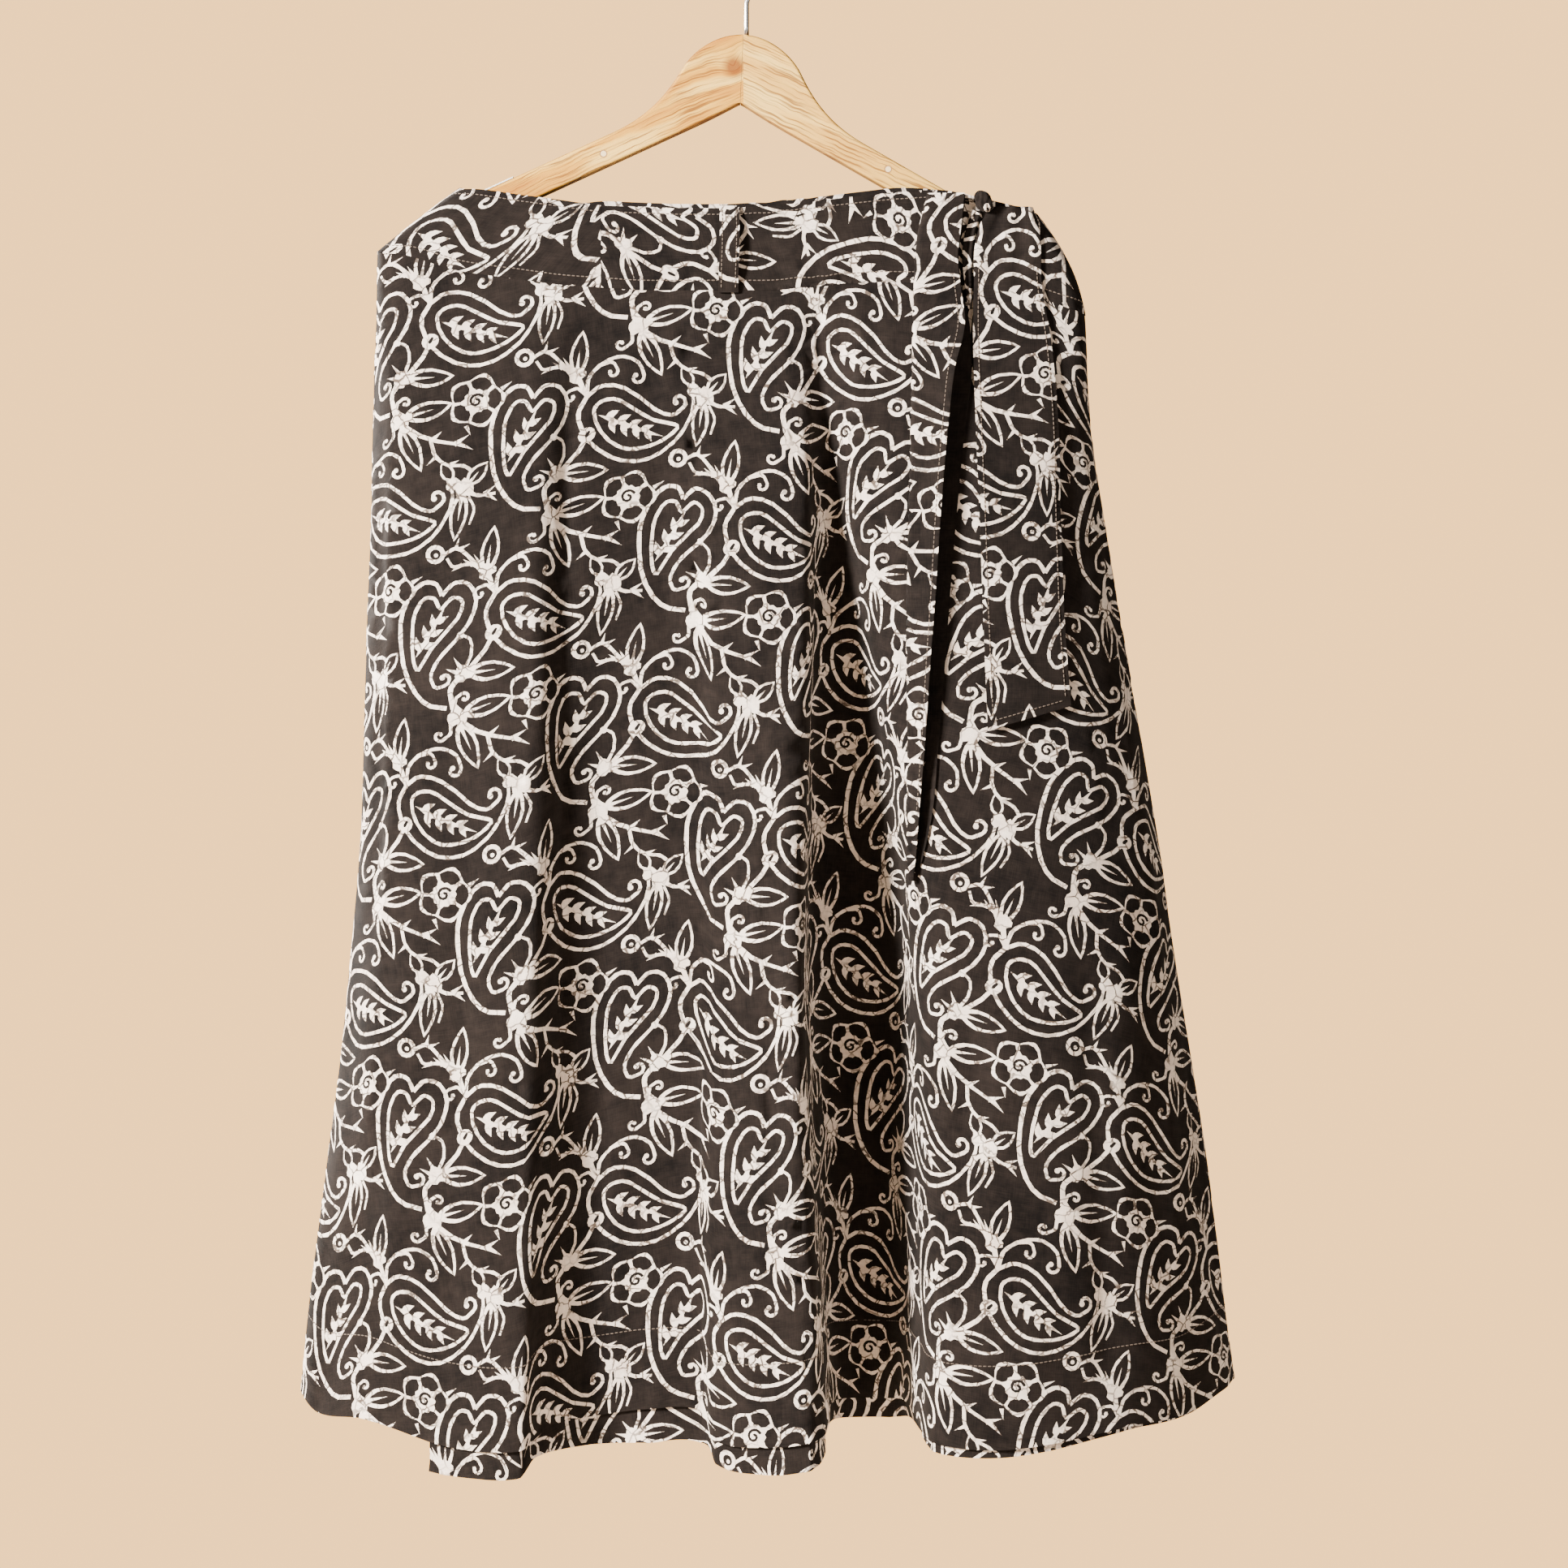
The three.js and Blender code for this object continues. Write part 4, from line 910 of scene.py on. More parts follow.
def rubber():
    """The pale anti-slip strips."""
    n = Nodes("strip_rubber")
    dust = n.noise(n.place(), 420.0, 3.0)
    return n.finish(n.mix(dust, srgb(226, 224, 218), srgb(248, 246, 240)), n.span(dust, 0, 1, 0.55, 0.75),
                    [(dust, 0.15, 0.0003)])


PINE, STEEL, RUBBER = wood(), steel(), rubber()

# ---- The skirt's pieces ----------------------------------------------------------------------------------
FRONT_LENGTH, BACK_LENGTH = 852.0, 846.0
LEFT_BAND_HEIGHT, BAND_HEIGHT = 56.0, 60.0
# How far out the two faces of each layer of cloth lie.
PANEL_LAYER, UNDER_PANEL_LAYER = (0.0, -0.9), (-3.2, -4.1)
BAND_LAYER, UNDER_BAND_LAYER = (0.4, -1.2), (-2.8, -4.2)
# The underlap's free edge: its line at the seam, how many lines it leans to the left by the hem, and over how
# many lines that lean dies out.
UNDERLAP_EDGE, UNDERLAP_LEAN, LEAN_FADE = 3.5, 0.7, 2.5
# The underlap's waistband: the last of its lines, and where and how far it rises above the front one.
UNDER_BAND_END, RISE_FROM, RISE_TO, UNDER_BAND_RISE = 24.6, 6, 22, 3.5


def band_wrinkle(t, r, _per_line):
    """How far the waistband puckers, in mm."""
    around = 2 * math.pi * t / N_LINES
    puckers = 0.22 * np.sin(61 * around + 2 * r) + 0.16 * np.sin(103 * around + 1.3)
    wave = 0.5 * np.sin(9 * around + 1) * np.sin(math.pi * r)
    return (wave + puckers * (r - 0.45) ** 2 * 3.2) * ease(4 * r)


def skin_lift(points_of):
    return wrinkle if points_of is panel_points else band_wrinkle


def under_warp(t, s):
    """Where the underlap's cloth at place t lies at level s, since its free edge leans."""
    return t - UNDERLAP_LEAN * np.minimum(s, 1) * np.maximum(0, 1 - (t - UNDERLAP_EDGE) / LEAN_FADE)


def under_foot(t):
    """The level of the underlap's own hem."""
    share = DROP / (SEAM_Z - HEM_Z)
    return 1 + np.interp(t, np.arange(N_FRONT_LINES), share[:N_FRONT_LINES])


def under_band_points(lines, r):
    p = band_points(lines, r)
    raised = (lines >= RISE_FROM) & (lines <= RISE_TO)
    p[..., 2] += UNDER_BAND_RISE * (1 - np.broadcast_to(r, lines.shape)) * raised
    return p


# At the sides the back pieces lap under the front ones, this many lines far and this much deeper in mm.
SIDE_LAP, LAP_DEPTH = 0.15, 0.15
PRINT_FAN = 2.1  # how much more the overlap's flat cut fans out for the print alone, so that its motifs lean
front = (SIDE_LEFT, SIDE_RIGHT)
back = (SIDE_RIGHT - SIDE_LAP, N_LINES + SIDE_LAP)


def deeper(layer):
    return tuple(out - LAP_DEPTH for out in layer)


def waistband(span, height, points_of=band_points):
    return RoundCut(points_of, span, height, straight=True)


outer_cut = RoundCut(panel_points, front, FRONT_LENGTH, fan=PRINT_FAN)
under_cut = RoundCut(panel_points, (UNDERLAP_EDGE, SIDE_RIGHT), FRONT_LENGTH, warp=under_warp,
                     foot=under_foot)
back_cut = RoundCut(panel_points, back, BACK_LENGTH)
panel_outer = cloth("skirt_front_outer", outer_cut, PANEL_LAYER, (18, 198, -98), "panel_outer")
panel_under = cloth("skirt_front_under", under_cut, UNDER_PANEL_LAYER, (15, 60, -40), "panel_under")
panel_back = cloth("skirt_back", back_cut, deeper(PANEL_LAYER), (14, 30, 20), "panel_back")
band_left = cloth("waistband_left", waistband((SIDE_LEFT, BAND_JOIN), LEFT_BAND_HEIGHT), BAND_LAYER,
                  (4, 20, 38), "waistband_front_left", 6.0)
band_right = cloth("waistband_right", waistband((BAND_JOIN, SIDE_RIGHT), BAND_HEIGHT), BAND_LAYER,
                   (96, 40, 20), "waistband_front_right", 6.0)
band_back = cloth("waistband_rear", waistband(back, BAND_HEIGHT), deeper(BAND_LAYER), (92, 10, 60),
                  "waistband_back", 6.0)
under_band_cut = waistband((UNDERLAP_EDGE, UNDER_BAND_END), BAND_HEIGHT, under_band_points)
band_under = cloth("waistband_inner", under_band_cut, UNDER_BAND_LAYER, (90, 80, 10), "waistband_under", 7.0)


HALVINGS = 22  # steps in the search for a place on the front


def on_front(x, z, distance, first, last):
    """The point at x and z, moved out from the front between two of its lines."""
    low, high = np.full(len(x), float(first)), np.full(len(x), float(last))

    def spot(t, creased):
        one = np.ones(len(t))
        top, seam = across(band_points, t, 0 * one)[:, 2], across(band_points, t, one)[:, 2]
        hem = across(panel_points, t, one)[:, 2]
        r, s = np.clip((top - z) / (top - seam), 0, 1), np.clip((seam - z) / (seam - hem), 0, PAST_HEM)
        if creased:
            up, down = skin(band_points, t, r, 0.0, band_wrinkle), skin(panel_points, t, s, 0.0, wrinkle)
        else:
            up, down = across(band_points, t, r), across(panel_points, t, s)
        return np.where((z >= seam)[:, None], up, down)

    for _ in range(HALVINGS):
        middle = (low + high) / 2
        left_of = spot(middle, False)[:, 0] < x
        low, high = np.where(left_of, middle, low), np.where(left_of, high, middle)
    return np.stack([x, spot(low, True)[:, 1] - distance, z], axis=1)


def table(rows, z):
    """A tie's table at heights z: x of its edges, smoothly."""
    rows = np.array(rows, float)
    k, v = -rows[:, 0], rows[:, 1:]
    slope = np.gradient(v, k, axis=0)
    q = np.clip(-z, k[0], k[-1])
    i = np.clip(np.searchsorted(k, q, side="right") - 1, 0, len(k) - 2)
    span = k[i + 1] - k[i]
    w = basis((q - k[i]) / span, span)
    out = sum(c[:, None] * p for c, p in zip(w, (v[i], slope[i], v[i + 1], slope[i + 1])))
    return out + np.maximum(-z - k[-1], 0)[:, None] * slope[-1]


# The ties: the lines between which they lie, and the heights z with the x of their edges.
TIE_LINES = (20, 26)
TIE_END_DROP = 18  # how much lower the flat tie's slanted end is at its left corner
TIE_FLAT = [(-203, 183, 211), (-212, 174, 214), (-226, 169, 216), (-261, 167, 217), (-297, 166, 223),
            (-351, 167, 228), (-441, 170, 230), (-512, 172, 232), (-571, 174, 236)]
TIE_FOLDED = [(-194, 133, 160, 161), (-223, 126, 157, 158), (-239, 124, 155, 156), (-262, 123, 157, 158),
              (-289, 122, 160, 163.5), (-325, 121, 152, 165), (-366, 120, 147, 160), (-434, 118, 141, 153),
              (-492, 116.5, 137, 148), (-542, 116.5, 133, 144), (-601, 117, 129, 139),
              (-650, 117, 125, 134.5), (-685, 117, 122.5, 127), (-698, 118, 121, 123.5)]
TIE_GATHER = [(-206, 166, 173), (-223, 160.5, 168.4), (-239, 158.5, 166.6), (-262, 160.5, 165.8),
              (-279, 162.7, 165.4)]


def hanging_cut(rows, drop, spot, columns, rows_down):
    """A tie that lies in front of the skirt. Its flat cut is its outline from the front."""
    top, end = rows[0][0], rows[-1][0]

    def flat(ab):
        z = top + (end - drop * (1 - ab[:, 0]) - top) * ab[:, 1]
        edges = table(rows, z)
        return np.stack([edges[:, 0] + (edges[:, 1] - edges[:, 0]) * ab[:, 0], z], axis=1)

    def place(xy):
        edges = table(rows, xy[:, 1])
        a = (xy[:, 0] - edges[:, 0]) / (edges[:, 1] - edges[:, 0])
        return np.stack([a, (xy[:, 1] - top) / (end - drop * (1 - np.clip(a, 0, 1)) - top)], axis=1)

    return StripCut(flat, place, lambda ab, out: spot(flat(ab), ab, out), columns, rows_down)


def flat_tie_spot(xz, ab, out):
    a, b = ab[:, 0], ab[:, 1]
    fade = ease(b * 5)
    lift = fade * (0.9 + 0.9 * np.sin(7 * b + 0.6) * np.cos(3 * a - 1) + 0.8 * (a - 0.45) ** 2)
    gathers = (1 - ease(b * 4)) * 1.1 * np.sin(5 * math.pi * a + 3 * b)
    end_curl = 1.4 * ease((b - 0.9) * 10) * (1 - a)
    return on_front(xz[:, 0], xz[:, 1], 1.2 + lift + gathers + end_curl + out, *TIE_LINES)


def gather_spot(xz, ab, out):
    wave = 0.8 * np.sin(3 * math.pi * ab[:, 0] + 1.5 * ab[:, 1])
    return on_front(xz[:, 0], xz[:, 1], 2 + wave + out, *TIE_LINES)


FOLD_TOP, FOLD_LENGTH = -194.0, 504.0
FOLD_SPREAD, FOLD_SHARE = 5.0, 0.9  # how far apart its layers lie, and the most of the front one's width


def folded_parts(z):
    """At heights z: the fold, the two edges, the fold's radius, and the widths behind it and round it."""
    fold, fore, rear = table(TIE_FOLDED, z).T
    radius = np.minimum(FOLD_SPREAD, (fore - fold) * FOLD_SHARE) / 2
    return fold, fore, rear, radius, rear - fold - radius, math.pi * radius


def folded_width(z):
    fold, fore, _, radius, behind, round_it = folded_parts(z)
    return behind + round_it + fore - fold - radius


def folded_flat(ab):
    z = FOLD_TOP - FOLD_LENGTH * ab[:, 1]
    return np.stack([ab[:, 0] * folded_width(z), z], axis=1)


def folded_place(xy):
    return np.stack([xy[:, 0] / folded_width(xy[:, 1]), (FOLD_TOP - xy[:, 1]) / FOLD_LENGTH], 1)


def folded_spot(ab, out):
    xy = folded_flat(ab)
    q, z = xy.T
    fold, fore, rear, radius, behind, round_it = folded_parts(z)
    angle = np.clip((q - behind) / radius, 0, math.pi)
    x = np.where(q < behind, rear - q, np.where(q > behind + round_it, fold + radius + q - behind - round_it,
                                               fold + radius * (1 - np.sin(angle))))
    fore_share = np.clip((q - behind - round_it) / (fore - fold - radius), 0, 1)
    swell = 1.6 * fore_share * (1 - fore_share) * (1 + np.sin(0.021 * z)) + 1.2 * fore_share**3
    swell += 0.5 * np.maximum(rear - fore - 2, 0) * fore_share**1.5
    lift = 1.5 + radius * (1 - np.cos(angle)) + swell - out * np.cos(angle)
    return on_front(x - out * np.sin(angle) * 0.9, z, lift, *TIE_LINES)


def knot_spot(ab, out):
    """Turns of cloth pulled round each other, in an oval at x = 174 and z = -200."""
    around, down = 2 * math.pi * ab[:, 0], math.pi * np.clip(ab[:, 1], 0.02, 0.98)
    px, py, pz = np.sin(down) * np.cos(around), np.sin(down) * np.sin(around), np.cos(down)
    strands = 1 - 0.13 * np.sin(down) * (1 + np.cos(4 * around + 3.4 * pz))
    strands += 0.06 * np.sin(9 * around - 5 * pz)
    front_y = on_front(np.array([174.0]), np.array([-200.5]), 6.0, *TIE_LINES)[0, 1]
    lean = 2.5 * pz
    return np.stack([174 - lean + (6.8 + out) * strands * px, front_y + (5 + out) * strands * py,
                     -200.0 + (8.0 + out) * pz + 1.6 * px * np.sin(down)], axis=1)


flat_tie_cut = hanging_cut(TIE_FLAT, TIE_END_DROP, flat_tie_spot, 14, 90)
tie_flat = cloth("tie_flat_cloth", flat_tie_cut, (1.4, 0.4), (2, 20, 640), "tie_flat", 5.0)
folded_cut = StripCut(folded_flat, folded_place, folded_spot, 16, 110)
# The rear 0.3 of this tie's width is left plain dark as painted shade for the inside of its fold, which lies
# in shadow.
tie_folded = cloth("tie_folded_cloth", folded_cut, (0.5, -0.5), (-3, 60, 150), "tie_folded", 4.0, painted_shade_share=0.3)
tie_gather = cloth("tie_gathered", hanging_cut(TIE_GATHER, 0, gather_spot, 8, 26), (0.4, -0.4), (10, 70, 30),
                   "tie_gather", 1.6)


def plain_strip(width, length, spot, columns, rows):
    """A strip whose flat cut is a rectangle."""
    size = (width, -length)
    return StripCut(lambda ab: ab * size, lambda xy: xy / size, spot, columns, rows)


knot_cut = plain_strip(42, 20, knot_spot, 30, 14)
tie_knot = cloth("tie_knot_cloth", knot_cut, (0.0, -0.8), (20, 0, 18), "tie_knot", 1.2)


LOOP_LEFT, LOOP_WIDTH, LOOP_LENGTH = -20, 14.5, 66
LOOP_ABOVE, LOOP_BELOW = 1.5, 2  # how far it reaches past the waistband
LOOP_LINE, LOOP_LINES = 10.0, (8, 11)  # the line that it stands on, and those round it


def loop_spot(ab, out):
    """The belt loop stands off the waistband between its two caught ends."""
    a, b = ab[:, 0], ab[:, 1]
    ridge = across(band_points, np.array([LOOP_LINE, LOOP_LINE]), np.array([0.0, 1.0]))[:, 2]
    z = ridge[0] + LOOP_ABOVE + (ridge[1] - LOOP_BELOW - ridge[0] - LOOP_ABOVE) * b
    rise = 0.9 + 4.2 * np.clip(np.sin(math.pi * b), 0, 1) ** 0.8 + 0.5 * np.cos(math.pi * (a - 0.5))
    x = LOOP_LEFT + LOOP_WIDTH * a + 0.5 * np.sin(5 * b)
    return on_front(x, z, rise + out, *LOOP_LINES)


loop_cut = plain_strip(LOOP_WIDTH, LOOP_LENGTH, loop_spot, 6, 26)
belt_loop = cloth("belt_loop_cloth", loop_cut, (1.3, 0.3), (12, 84, 60), "belt_loop", 3.0)


# ---- Sewing ----------------------------------------------------------------------------------------------
def stitches(name, path, stitch=2.5, gap=0.9, thread=0.38):
    """A row of raised stitches along a path of points in mm."""
    d = np.concatenate([[0], np.cumsum(np.linalg.norm(np.diff(path, axis=0), axis=1))])
    starts = np.arange(0.5, d[-1] - stitch, stitch + gap)
    along = lambda q: np.stack([np.interp(q, d, path[:, k]) for k in range(3)], axis=1)
    shares = np.array([0.0, 0.2, 0.5, 0.8, 1.0])
    swell = np.array([0.45, 0.95, 1.0, 0.95, 0.45])
    sides, rings = 6, len(shares)
    turn = (2 * math.pi * np.arange(sides) / sides)[None, None, :, None]
    centre = along((starts[:, None] + stitch * shares).ravel()).reshape(-1, rings, 3)
    axis = centre[:, -1] - centre[:, 0]
    axis /= np.linalg.norm(axis, axis=1)[:, None]
    helper = np.where(np.abs(axis[:, 1:2]) < 0.8, [[0, 1.0, 0]], [[1.0, 0, 0]])
    u = np.cross(axis, helper)
    u /= np.linalg.norm(u, axis=1)[:, None]
    v = np.cross(axis, u)
    around = u[:, None, None] * np.cos(turn) + v[:, None, None] * np.sin(turn)
    verts = (centre[:, :, None] + thread * swell[None, :, None, None] * around).reshape(-1, 3)
    faces = []
    for j in range(rings - 1):
        for i in range(sides):
            a, b = j * sides + i, j * sides + (i + 1) % sides
            faces += [(a, b, b + sides), (a, b + sides, a + sides)]
    for i in range(1, sides - 1):
        last = (rings - 1) * sides
        faces += [(0, i + 1, i), (last, last + i, last + i + 1)]
    offsets = np.arange(len(starts)) * rings * sides
    all_faces = (np.array(faces)[None] + offsets[:, None, None]).reshape(-1, 3)
    obj = mesh_object(name, verts, all_faces, materials=(THREAD,))
    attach(obj, "root")
    return obj


def level_row(name, points_of, span, level, out):
    """A row of stitches round the skirt at one level."""
    t = np.linspace(*span, int((span[1] - span[0]) * 40))
    return stitches(name, skin(points_of, t, np.full(len(t), level), out, skin_lift(points_of)))


THREAD_OUT = 0.12
REAR_ROW = (27.1, 38.9)
HEM_ROW = 1 - 60 / PANEL_LENGTH
for side, span in (("left", (0.1, 5.9)), ("right", (6.1, 26.9)), ("rear", REAR_ROW)):
    for edge, level in (("top", 0.075), ("low", 0.88)):
        level_row(f"stitches_band_{side}_{edge}", band_points, span, level, BAND_LAYER[0] + THREAD_OUT)
level_row("stitches_hem_front", panel_points, (0.1, 26.9), HEM_ROW, THREAD_OUT)
level_row("stitches_hem_back", panel_points, REAR_ROW, HEM_ROW + 0.002, THREAD_OUT)


def strip_row(name, cut, a, b, out, n, **kind):
    """A row of stitches along a strip, from and to places given by (a, b) or by one of them for both."""
    across_at, down_at = (np.linspace(*np.broadcast_to(ends, 2), n) for ends in (a, b))
    return stitches(name, cut.spot(np.stack([across_at, down_at], axis=1), out), **kind)


TIE_ROW_END = 0.985
strip_row("stitches_tie_left", flat_tie_cut, 0.07, (0.12, TIE_ROW_END), 1.55, 160)
strip_row("stitches_tie_right", flat_tie_cut, 0.94, (0.12, TIE_ROW_END), 1.55, 160)
strip_row("stitches_tie_end", flat_tie_cut, (0.08, 0.93), TIE_ROW_END, 1.55, 60)
strip_row("stitches_tie_folded", folded_cut, 0.94, (0.12, 0.9), 0.6, 160)
strip_row("stitches_loop_left", loop_cut, 0.14, (0.04, 0.96), 1.45, 60, stitch=2.2)
strip_row("stitches_loop_right", loop_cut, 0.86, (0.04, 0.96), 1.45, 60, stitch=2.2)

# ---- The hanger ------------------------------------------------------------------------------------------
HANGER_AT, TILT = (-2.4, -74.4), math.radians(2.6)
# An arm: the x of its tip, the slope of its straight part and its height there.
ARM_TIP, SLOPE, DEPTH = 231.5, 0.515, 23.4
NECK = (92, -76)  # where an arm's straight slope begins
ARM_HALF, ARM_ROUND = 5.5, 2.2  # half its thickness and how far its edges are rounded
# A strip: from which x to which, how far above the arm, how thick, half its width, and its rounding.
STRIP_FROM, STRIP_TO, STRIP_LIFT, STRIP_THICK, STRIP_HALF, STRIP_ROUND = 165, 214, 0.1, 1.3, 4.0, 0.35
arm_top = lambda x: NECK[1] - SLOPE * (x - NECK[0])


def bezier(points, n):
    """n points along a Bezier curve, without its first."""
    f = np.linspace(0, 1, n + 1)[:, None]
    p = [np.array(q, float) for q in points]
    while len(p) > 1:
        p = [a * (1 - f) + b * f for a, b in zip(p, p[1:])]
    return p[0][1:]


def arm_outline():
    """The right arm from the front: up over its shoulder, down to its tip and back below."""
    r, x = 8.0, ARM_TIP
    low = arm_top(x) - DEPTH
    parts = [[(0.15, 0)],
             bezier([(0.15, 0), (20, 0), (37, -14), (44, -27)], 18),
             bezier([(44, -27), (52, -42), (64, -61.5), NECK], 16),
             bezier([NECK, (x - r, arm_top(x - r))], 10),
             bezier([(x - r, arm_top(x - r)), (x, arm_top(x)), (x, arm_top(x) - r)], 8),
             [(x, low + r)],
             bezier([(x, low + r), (x, low), (x - r, arm_top(x - r) - DEPTH)], 8),
             bezier([(x - r, arm_top(x - r) - DEPTH), (34, arm_top(34) - DEPTH)], 10),
             bezier([(34, arm_top(34) - DEPTH), (17, arm_top(17) - DEPTH), (0.15, -50.5)], 12)]
    return np.vstack(parts)


def in_hanger(points):
    """Points [x, y, z] of the hanger's own plane, tilted and put in place."""
    c, s = math.cos(TILT), math.sin(TILT)
    x, y, z = np.array(points, float).T
    return np.stack([HANGER_AT[0] + c * x + s * z, y, HANGER_AT[1] - s * x + c * z], axis=1)


def plank(name, outline, half, round_off, material, replaced):
    """A plank with rounded edges: its outline drawn in towards each face."""
    ahead, behind = np.roll(outline, -1, axis=0) - outline, outline - np.roll(outline, 1, axis=0)
    unit = lambda v: v / np.maximum(np.hypot(v[:, 0], v[:, 1]), 1e-9)[:, None]
    d = unit(unit(ahead) + unit(behind))
    inward = np.stack([-d[:, 1], d[:, 0]], axis=1)
    turning = np.sum(outline[:, 0] * np.roll(outline[:, 1], -1) - outline[:, 1] * np.roll(outline[:, 0], -1))
    inward *= 1 if turning > 0 else -1
    rings = []
    for side in (-1, 1):
        angles = np.linspace(0, math.pi / 2, 6)
        order = angles[::-1] if side < 0 else angles
        for a in order:
            inset, y = round_off * (1 - math.cos(a)), half - round_off * (1 - math.sin(a))
            ring_at = outline + inward * inset * ease(np.abs(outline[:, :1]) / 5)
            rings.append(np.stack([ring_at[:, 0], np.full(len(outline), side * y), ring_at[:, 1]], axis=1))
    n, m = len(outline), len(rings)
    verts = in_hanger(np.vstack(rings))
    faces = [tuple(range(n)), tuple((m - 1) * n + i for i in range(n - 1, -1, -1))]
    if turning > 0:
        faces = [f[::-1] for f in faces]
    for j in range(m - 1):
        for i in range(n):
            q = (j * n + i, (j + 1) * n + i, (j + 1) * n + (i + 1) % n, j * n + (i + 1) % n)
            faces.append(q if turning < 0 else q[::-1])
    obj = mesh_object(name, verts, faces, materials=(material,))
    obj.data.polygons[0].use_smooth = obj.data.polygons[1].use_smooth = False
    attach(obj, "root")
    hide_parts(replaced)
    return obj


for side, word in ((-1, "left"), (1, "right")):
    plank(f"arm_{word}", arm_outline() * (side, 1), ARM_HALF, ARM_ROUND, PINE, f"hanger_arm_{word}")
    corners = [(x, arm_top(x) + STRIP_LIFT) for x in (STRIP_FROM, STRIP_TO)]
    corners += [(x, z + STRIP_THICK) for x, z in corners[::-1]]
    sides = [bezier([corners[i], corners[(i + 1) % 4]], 12 if i % 2 == 0 else 2) for i in range(4)]
    plank(f"strip_{word}", np.vstack(sides) * (side, 1), STRIP_HALF, STRIP_ROUND, RUBBER,
          f"hanger_strip_{word}")


# The hook: the radius of its bend and of its rod, the height of the bend's centre, and the rod's sides.
HOOK_RADIUS, ROD, HOOK_CENTRE_Z, HOOK_SIDES = 20.7, 1.7, -19, 20
HOOK_FIRST, HOOK_LAST = -35, 196  # the arc's angles in degrees
STEM_TOP = -52


def hook():
    """The bent rod, round in section, with a domed tip."""
    radius, rod = HOOK_RADIUS, ROD
    turn = lambda a: (radius * math.cos(math.radians(a)), radius * math.sin(math.radians(a)) + HOOK_CENTRE_Z)
    first = turn(HOOK_FIRST)
    lean = (-math.sin(math.radians(HOOK_FIRST)), math.cos(math.radians(HOOK_FIRST)))
    start = (0, HANGER_AT[1] + 0.4)
    before = (first[0] - lean[0] * radius / 2, first[1] - lean[1] * radius / 2)
    bend = bezier([(0, STEM_TOP), (0, STEM_TOP + radius / 2), before, first], 14)
    arc = [turn(a) for a in np.linspace(HOOK_FIRST, HOOK_LAST, 60)[1:]]
    line = np.vstack([[start], [(0, -68), (0, -60), (0, STEM_TOP)], bend, arc])
    d = np.gradient(line, axis=0)
    d /= np.hypot(d[:, 0], d[:, 1])[:, None]
    end = line[-1] + d[-1] * np.array([[0.5], [0.9], [1.2]])
    line, d = np.vstack([line, end]), np.vstack([d, np.repeat(d[-1:], 3, axis=0)])
    widths = np.concatenate([np.full(len(line) - 3, rod), [rod * 0.92, rod * 0.68, rod * 0.25]])
    a = 2 * math.pi * np.arange(HOOK_SIDES) / HOOK_SIDES
    n = np.stack([-d[:, 1], d[:, 0]], axis=1)
    verts = np.stack([line[:, None, 0] + n[:, None, 0] * widths[:, None] * np.cos(a),
                      widths[:, None] * np.sin(a) + 0 * line[:, None, 0],
                      line[:, None, 1] + n[:, None, 1] * widths[:, None] * np.cos(a)], axis=-1).reshape(-1, 3)
    faces = []
    for j in range(len(line) - 1):
        low, high = j * HOOK_SIDES, (j + 1) * HOOK_SIDES
        for i in range(HOOK_SIDES):
            k = (i + 1) % HOOK_SIDES
            faces.append((low + i, low + k, high + k, high + i))
    faces += [tuple(range(HOOK_SIDES - 1, -1, -1)), tuple(high + i for i in range(HOOK_SIDES))]
    obj = mesh_object("hook_rod", verts, faces, materials=(STEEL,))
    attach(obj, "root")
    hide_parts("hanger_hook")


hook()


# ---- Floor, light and camera -----------------------------------------------------------------------------
def plain(name, colour, rough):
    """The floor's finish, faintly clouded."""
    n = Nodes(name)
    shade = n.noise(n.place(), 3.0, 4.0)
    r, g, b, _ = colour
    return n.finish(n.mix(shade, (r * 0.97, g * 0.97, b * 0.97, 1), colour), rough)


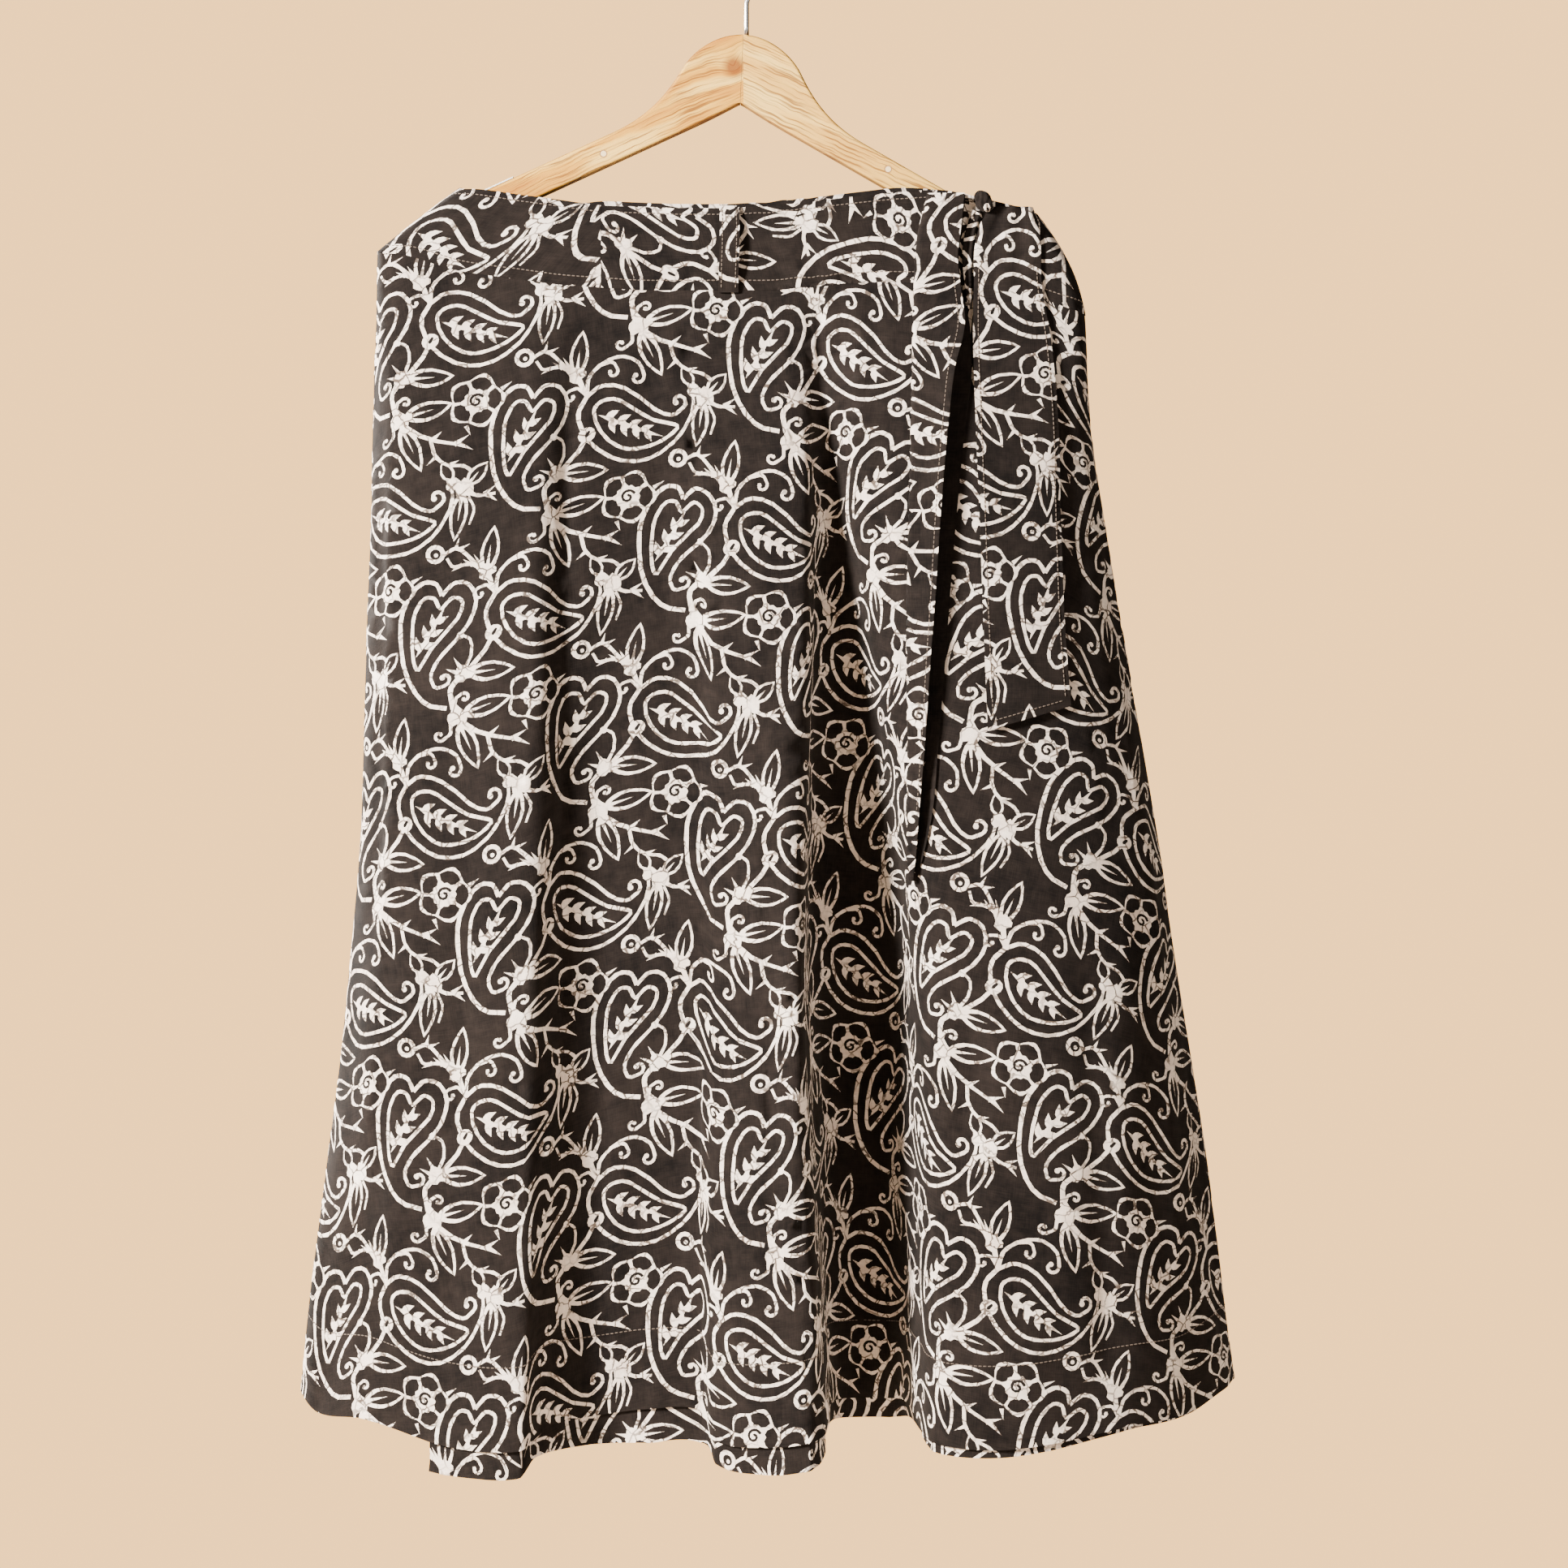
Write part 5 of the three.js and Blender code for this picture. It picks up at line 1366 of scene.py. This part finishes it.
FLOOR_Z, FLOOR_HALF, FLOOR_SIDES = -1.75, 2.4, 64
disc_points = [(FLOOR_HALF * math.cos(a), FLOOR_HALF * math.sin(a), FLOOR_Z)
               for a in np.linspace(0, 2 * math.pi, FLOOR_SIDES + 1)[:-1]]
floor = mesh_object("floor", np.array(disc_points) / MM, [tuple(range(FLOOR_SIDES))],
                    materials=(plain("floor_pale", srgb(214, 196, 174), 0.9),))


def area_light(name, at_point, aim, size, power, colour):
    data = bpy.data.lights.new(name, "AREA")
    data.shape, data.size, data.energy, data.color = "DISK", size, power, colour
    light = bpy.data.objects.new(name, data)
    bpy.context.scene.collection.objects.link(light)
    light.location = at_point
    light.rotation_euler = (Vector(aim) - Vector(at_point)).to_track_quat("-Z", "Y").to_euler()


CENTRE = (0.02, 0.0, -0.62)
area_light("key", (-2.5, -1.9, 0.45), CENTRE, 0.8, 600, (1.0, 0.95, 0.89))
area_light("fill", (2.4, -2.4, -0.2), CENTRE, 2.0, 30, (1.0, 0.93, 0.87))
area_light("rear", (-2.6, 1.7, 0.45), CENTRE, 0.9, 430, (1.0, 0.95, 0.89))
world = bpy.data.worlds.new("studio")
world.use_nodes = True
sky = world.node_tree
soft_light = sky.nodes["Background"]
soft_light.inputs[0].default_value, soft_light.inputs[1].default_value = srgb(236, 214, 190), 0.15
backdrop = sky.nodes.new("ShaderNodeBackground")
backdrop.inputs[0].default_value, backdrop.inputs[1].default_value = (1.0, 0.56, 0.2, 1), 2.75
chosen = sky.nodes.new("ShaderNodeMixShader")
sky.links.new(sky.nodes.new("ShaderNodeLightPath").outputs["Is Camera Ray"], chosen.inputs[0])
sky.links.new(soft_light.outputs[0], chosen.inputs[1])
sky.links.new(backdrop.outputs[0], chosen.inputs[2])
sky.links.new(chosen.outputs[0], sky.nodes["World Output"].inputs[0])
bpy.context.scene.world = world

CAMERA_FAR, HALF_VIEW = 2.6, 0.5796  # metres: the camera's distance, and half of what it sees there
camera_data = bpy.data.cameras.new("camera")
camera_data.sensor_width = 36.0
camera_data.lens = camera_data.sensor_width / 2 / (HALF_VIEW / CAMERA_FAR)
camera = bpy.data.objects.new("camera", camera_data)
camera.location = (0.0276, -CAMERA_FAR, -0.6276)
camera.rotation_euler = (math.pi / 2, 0, 0)
bpy.context.scene.collection.objects.link(camera)
bpy.context.scene.camera = camera

bpy.context.view_layer.update()
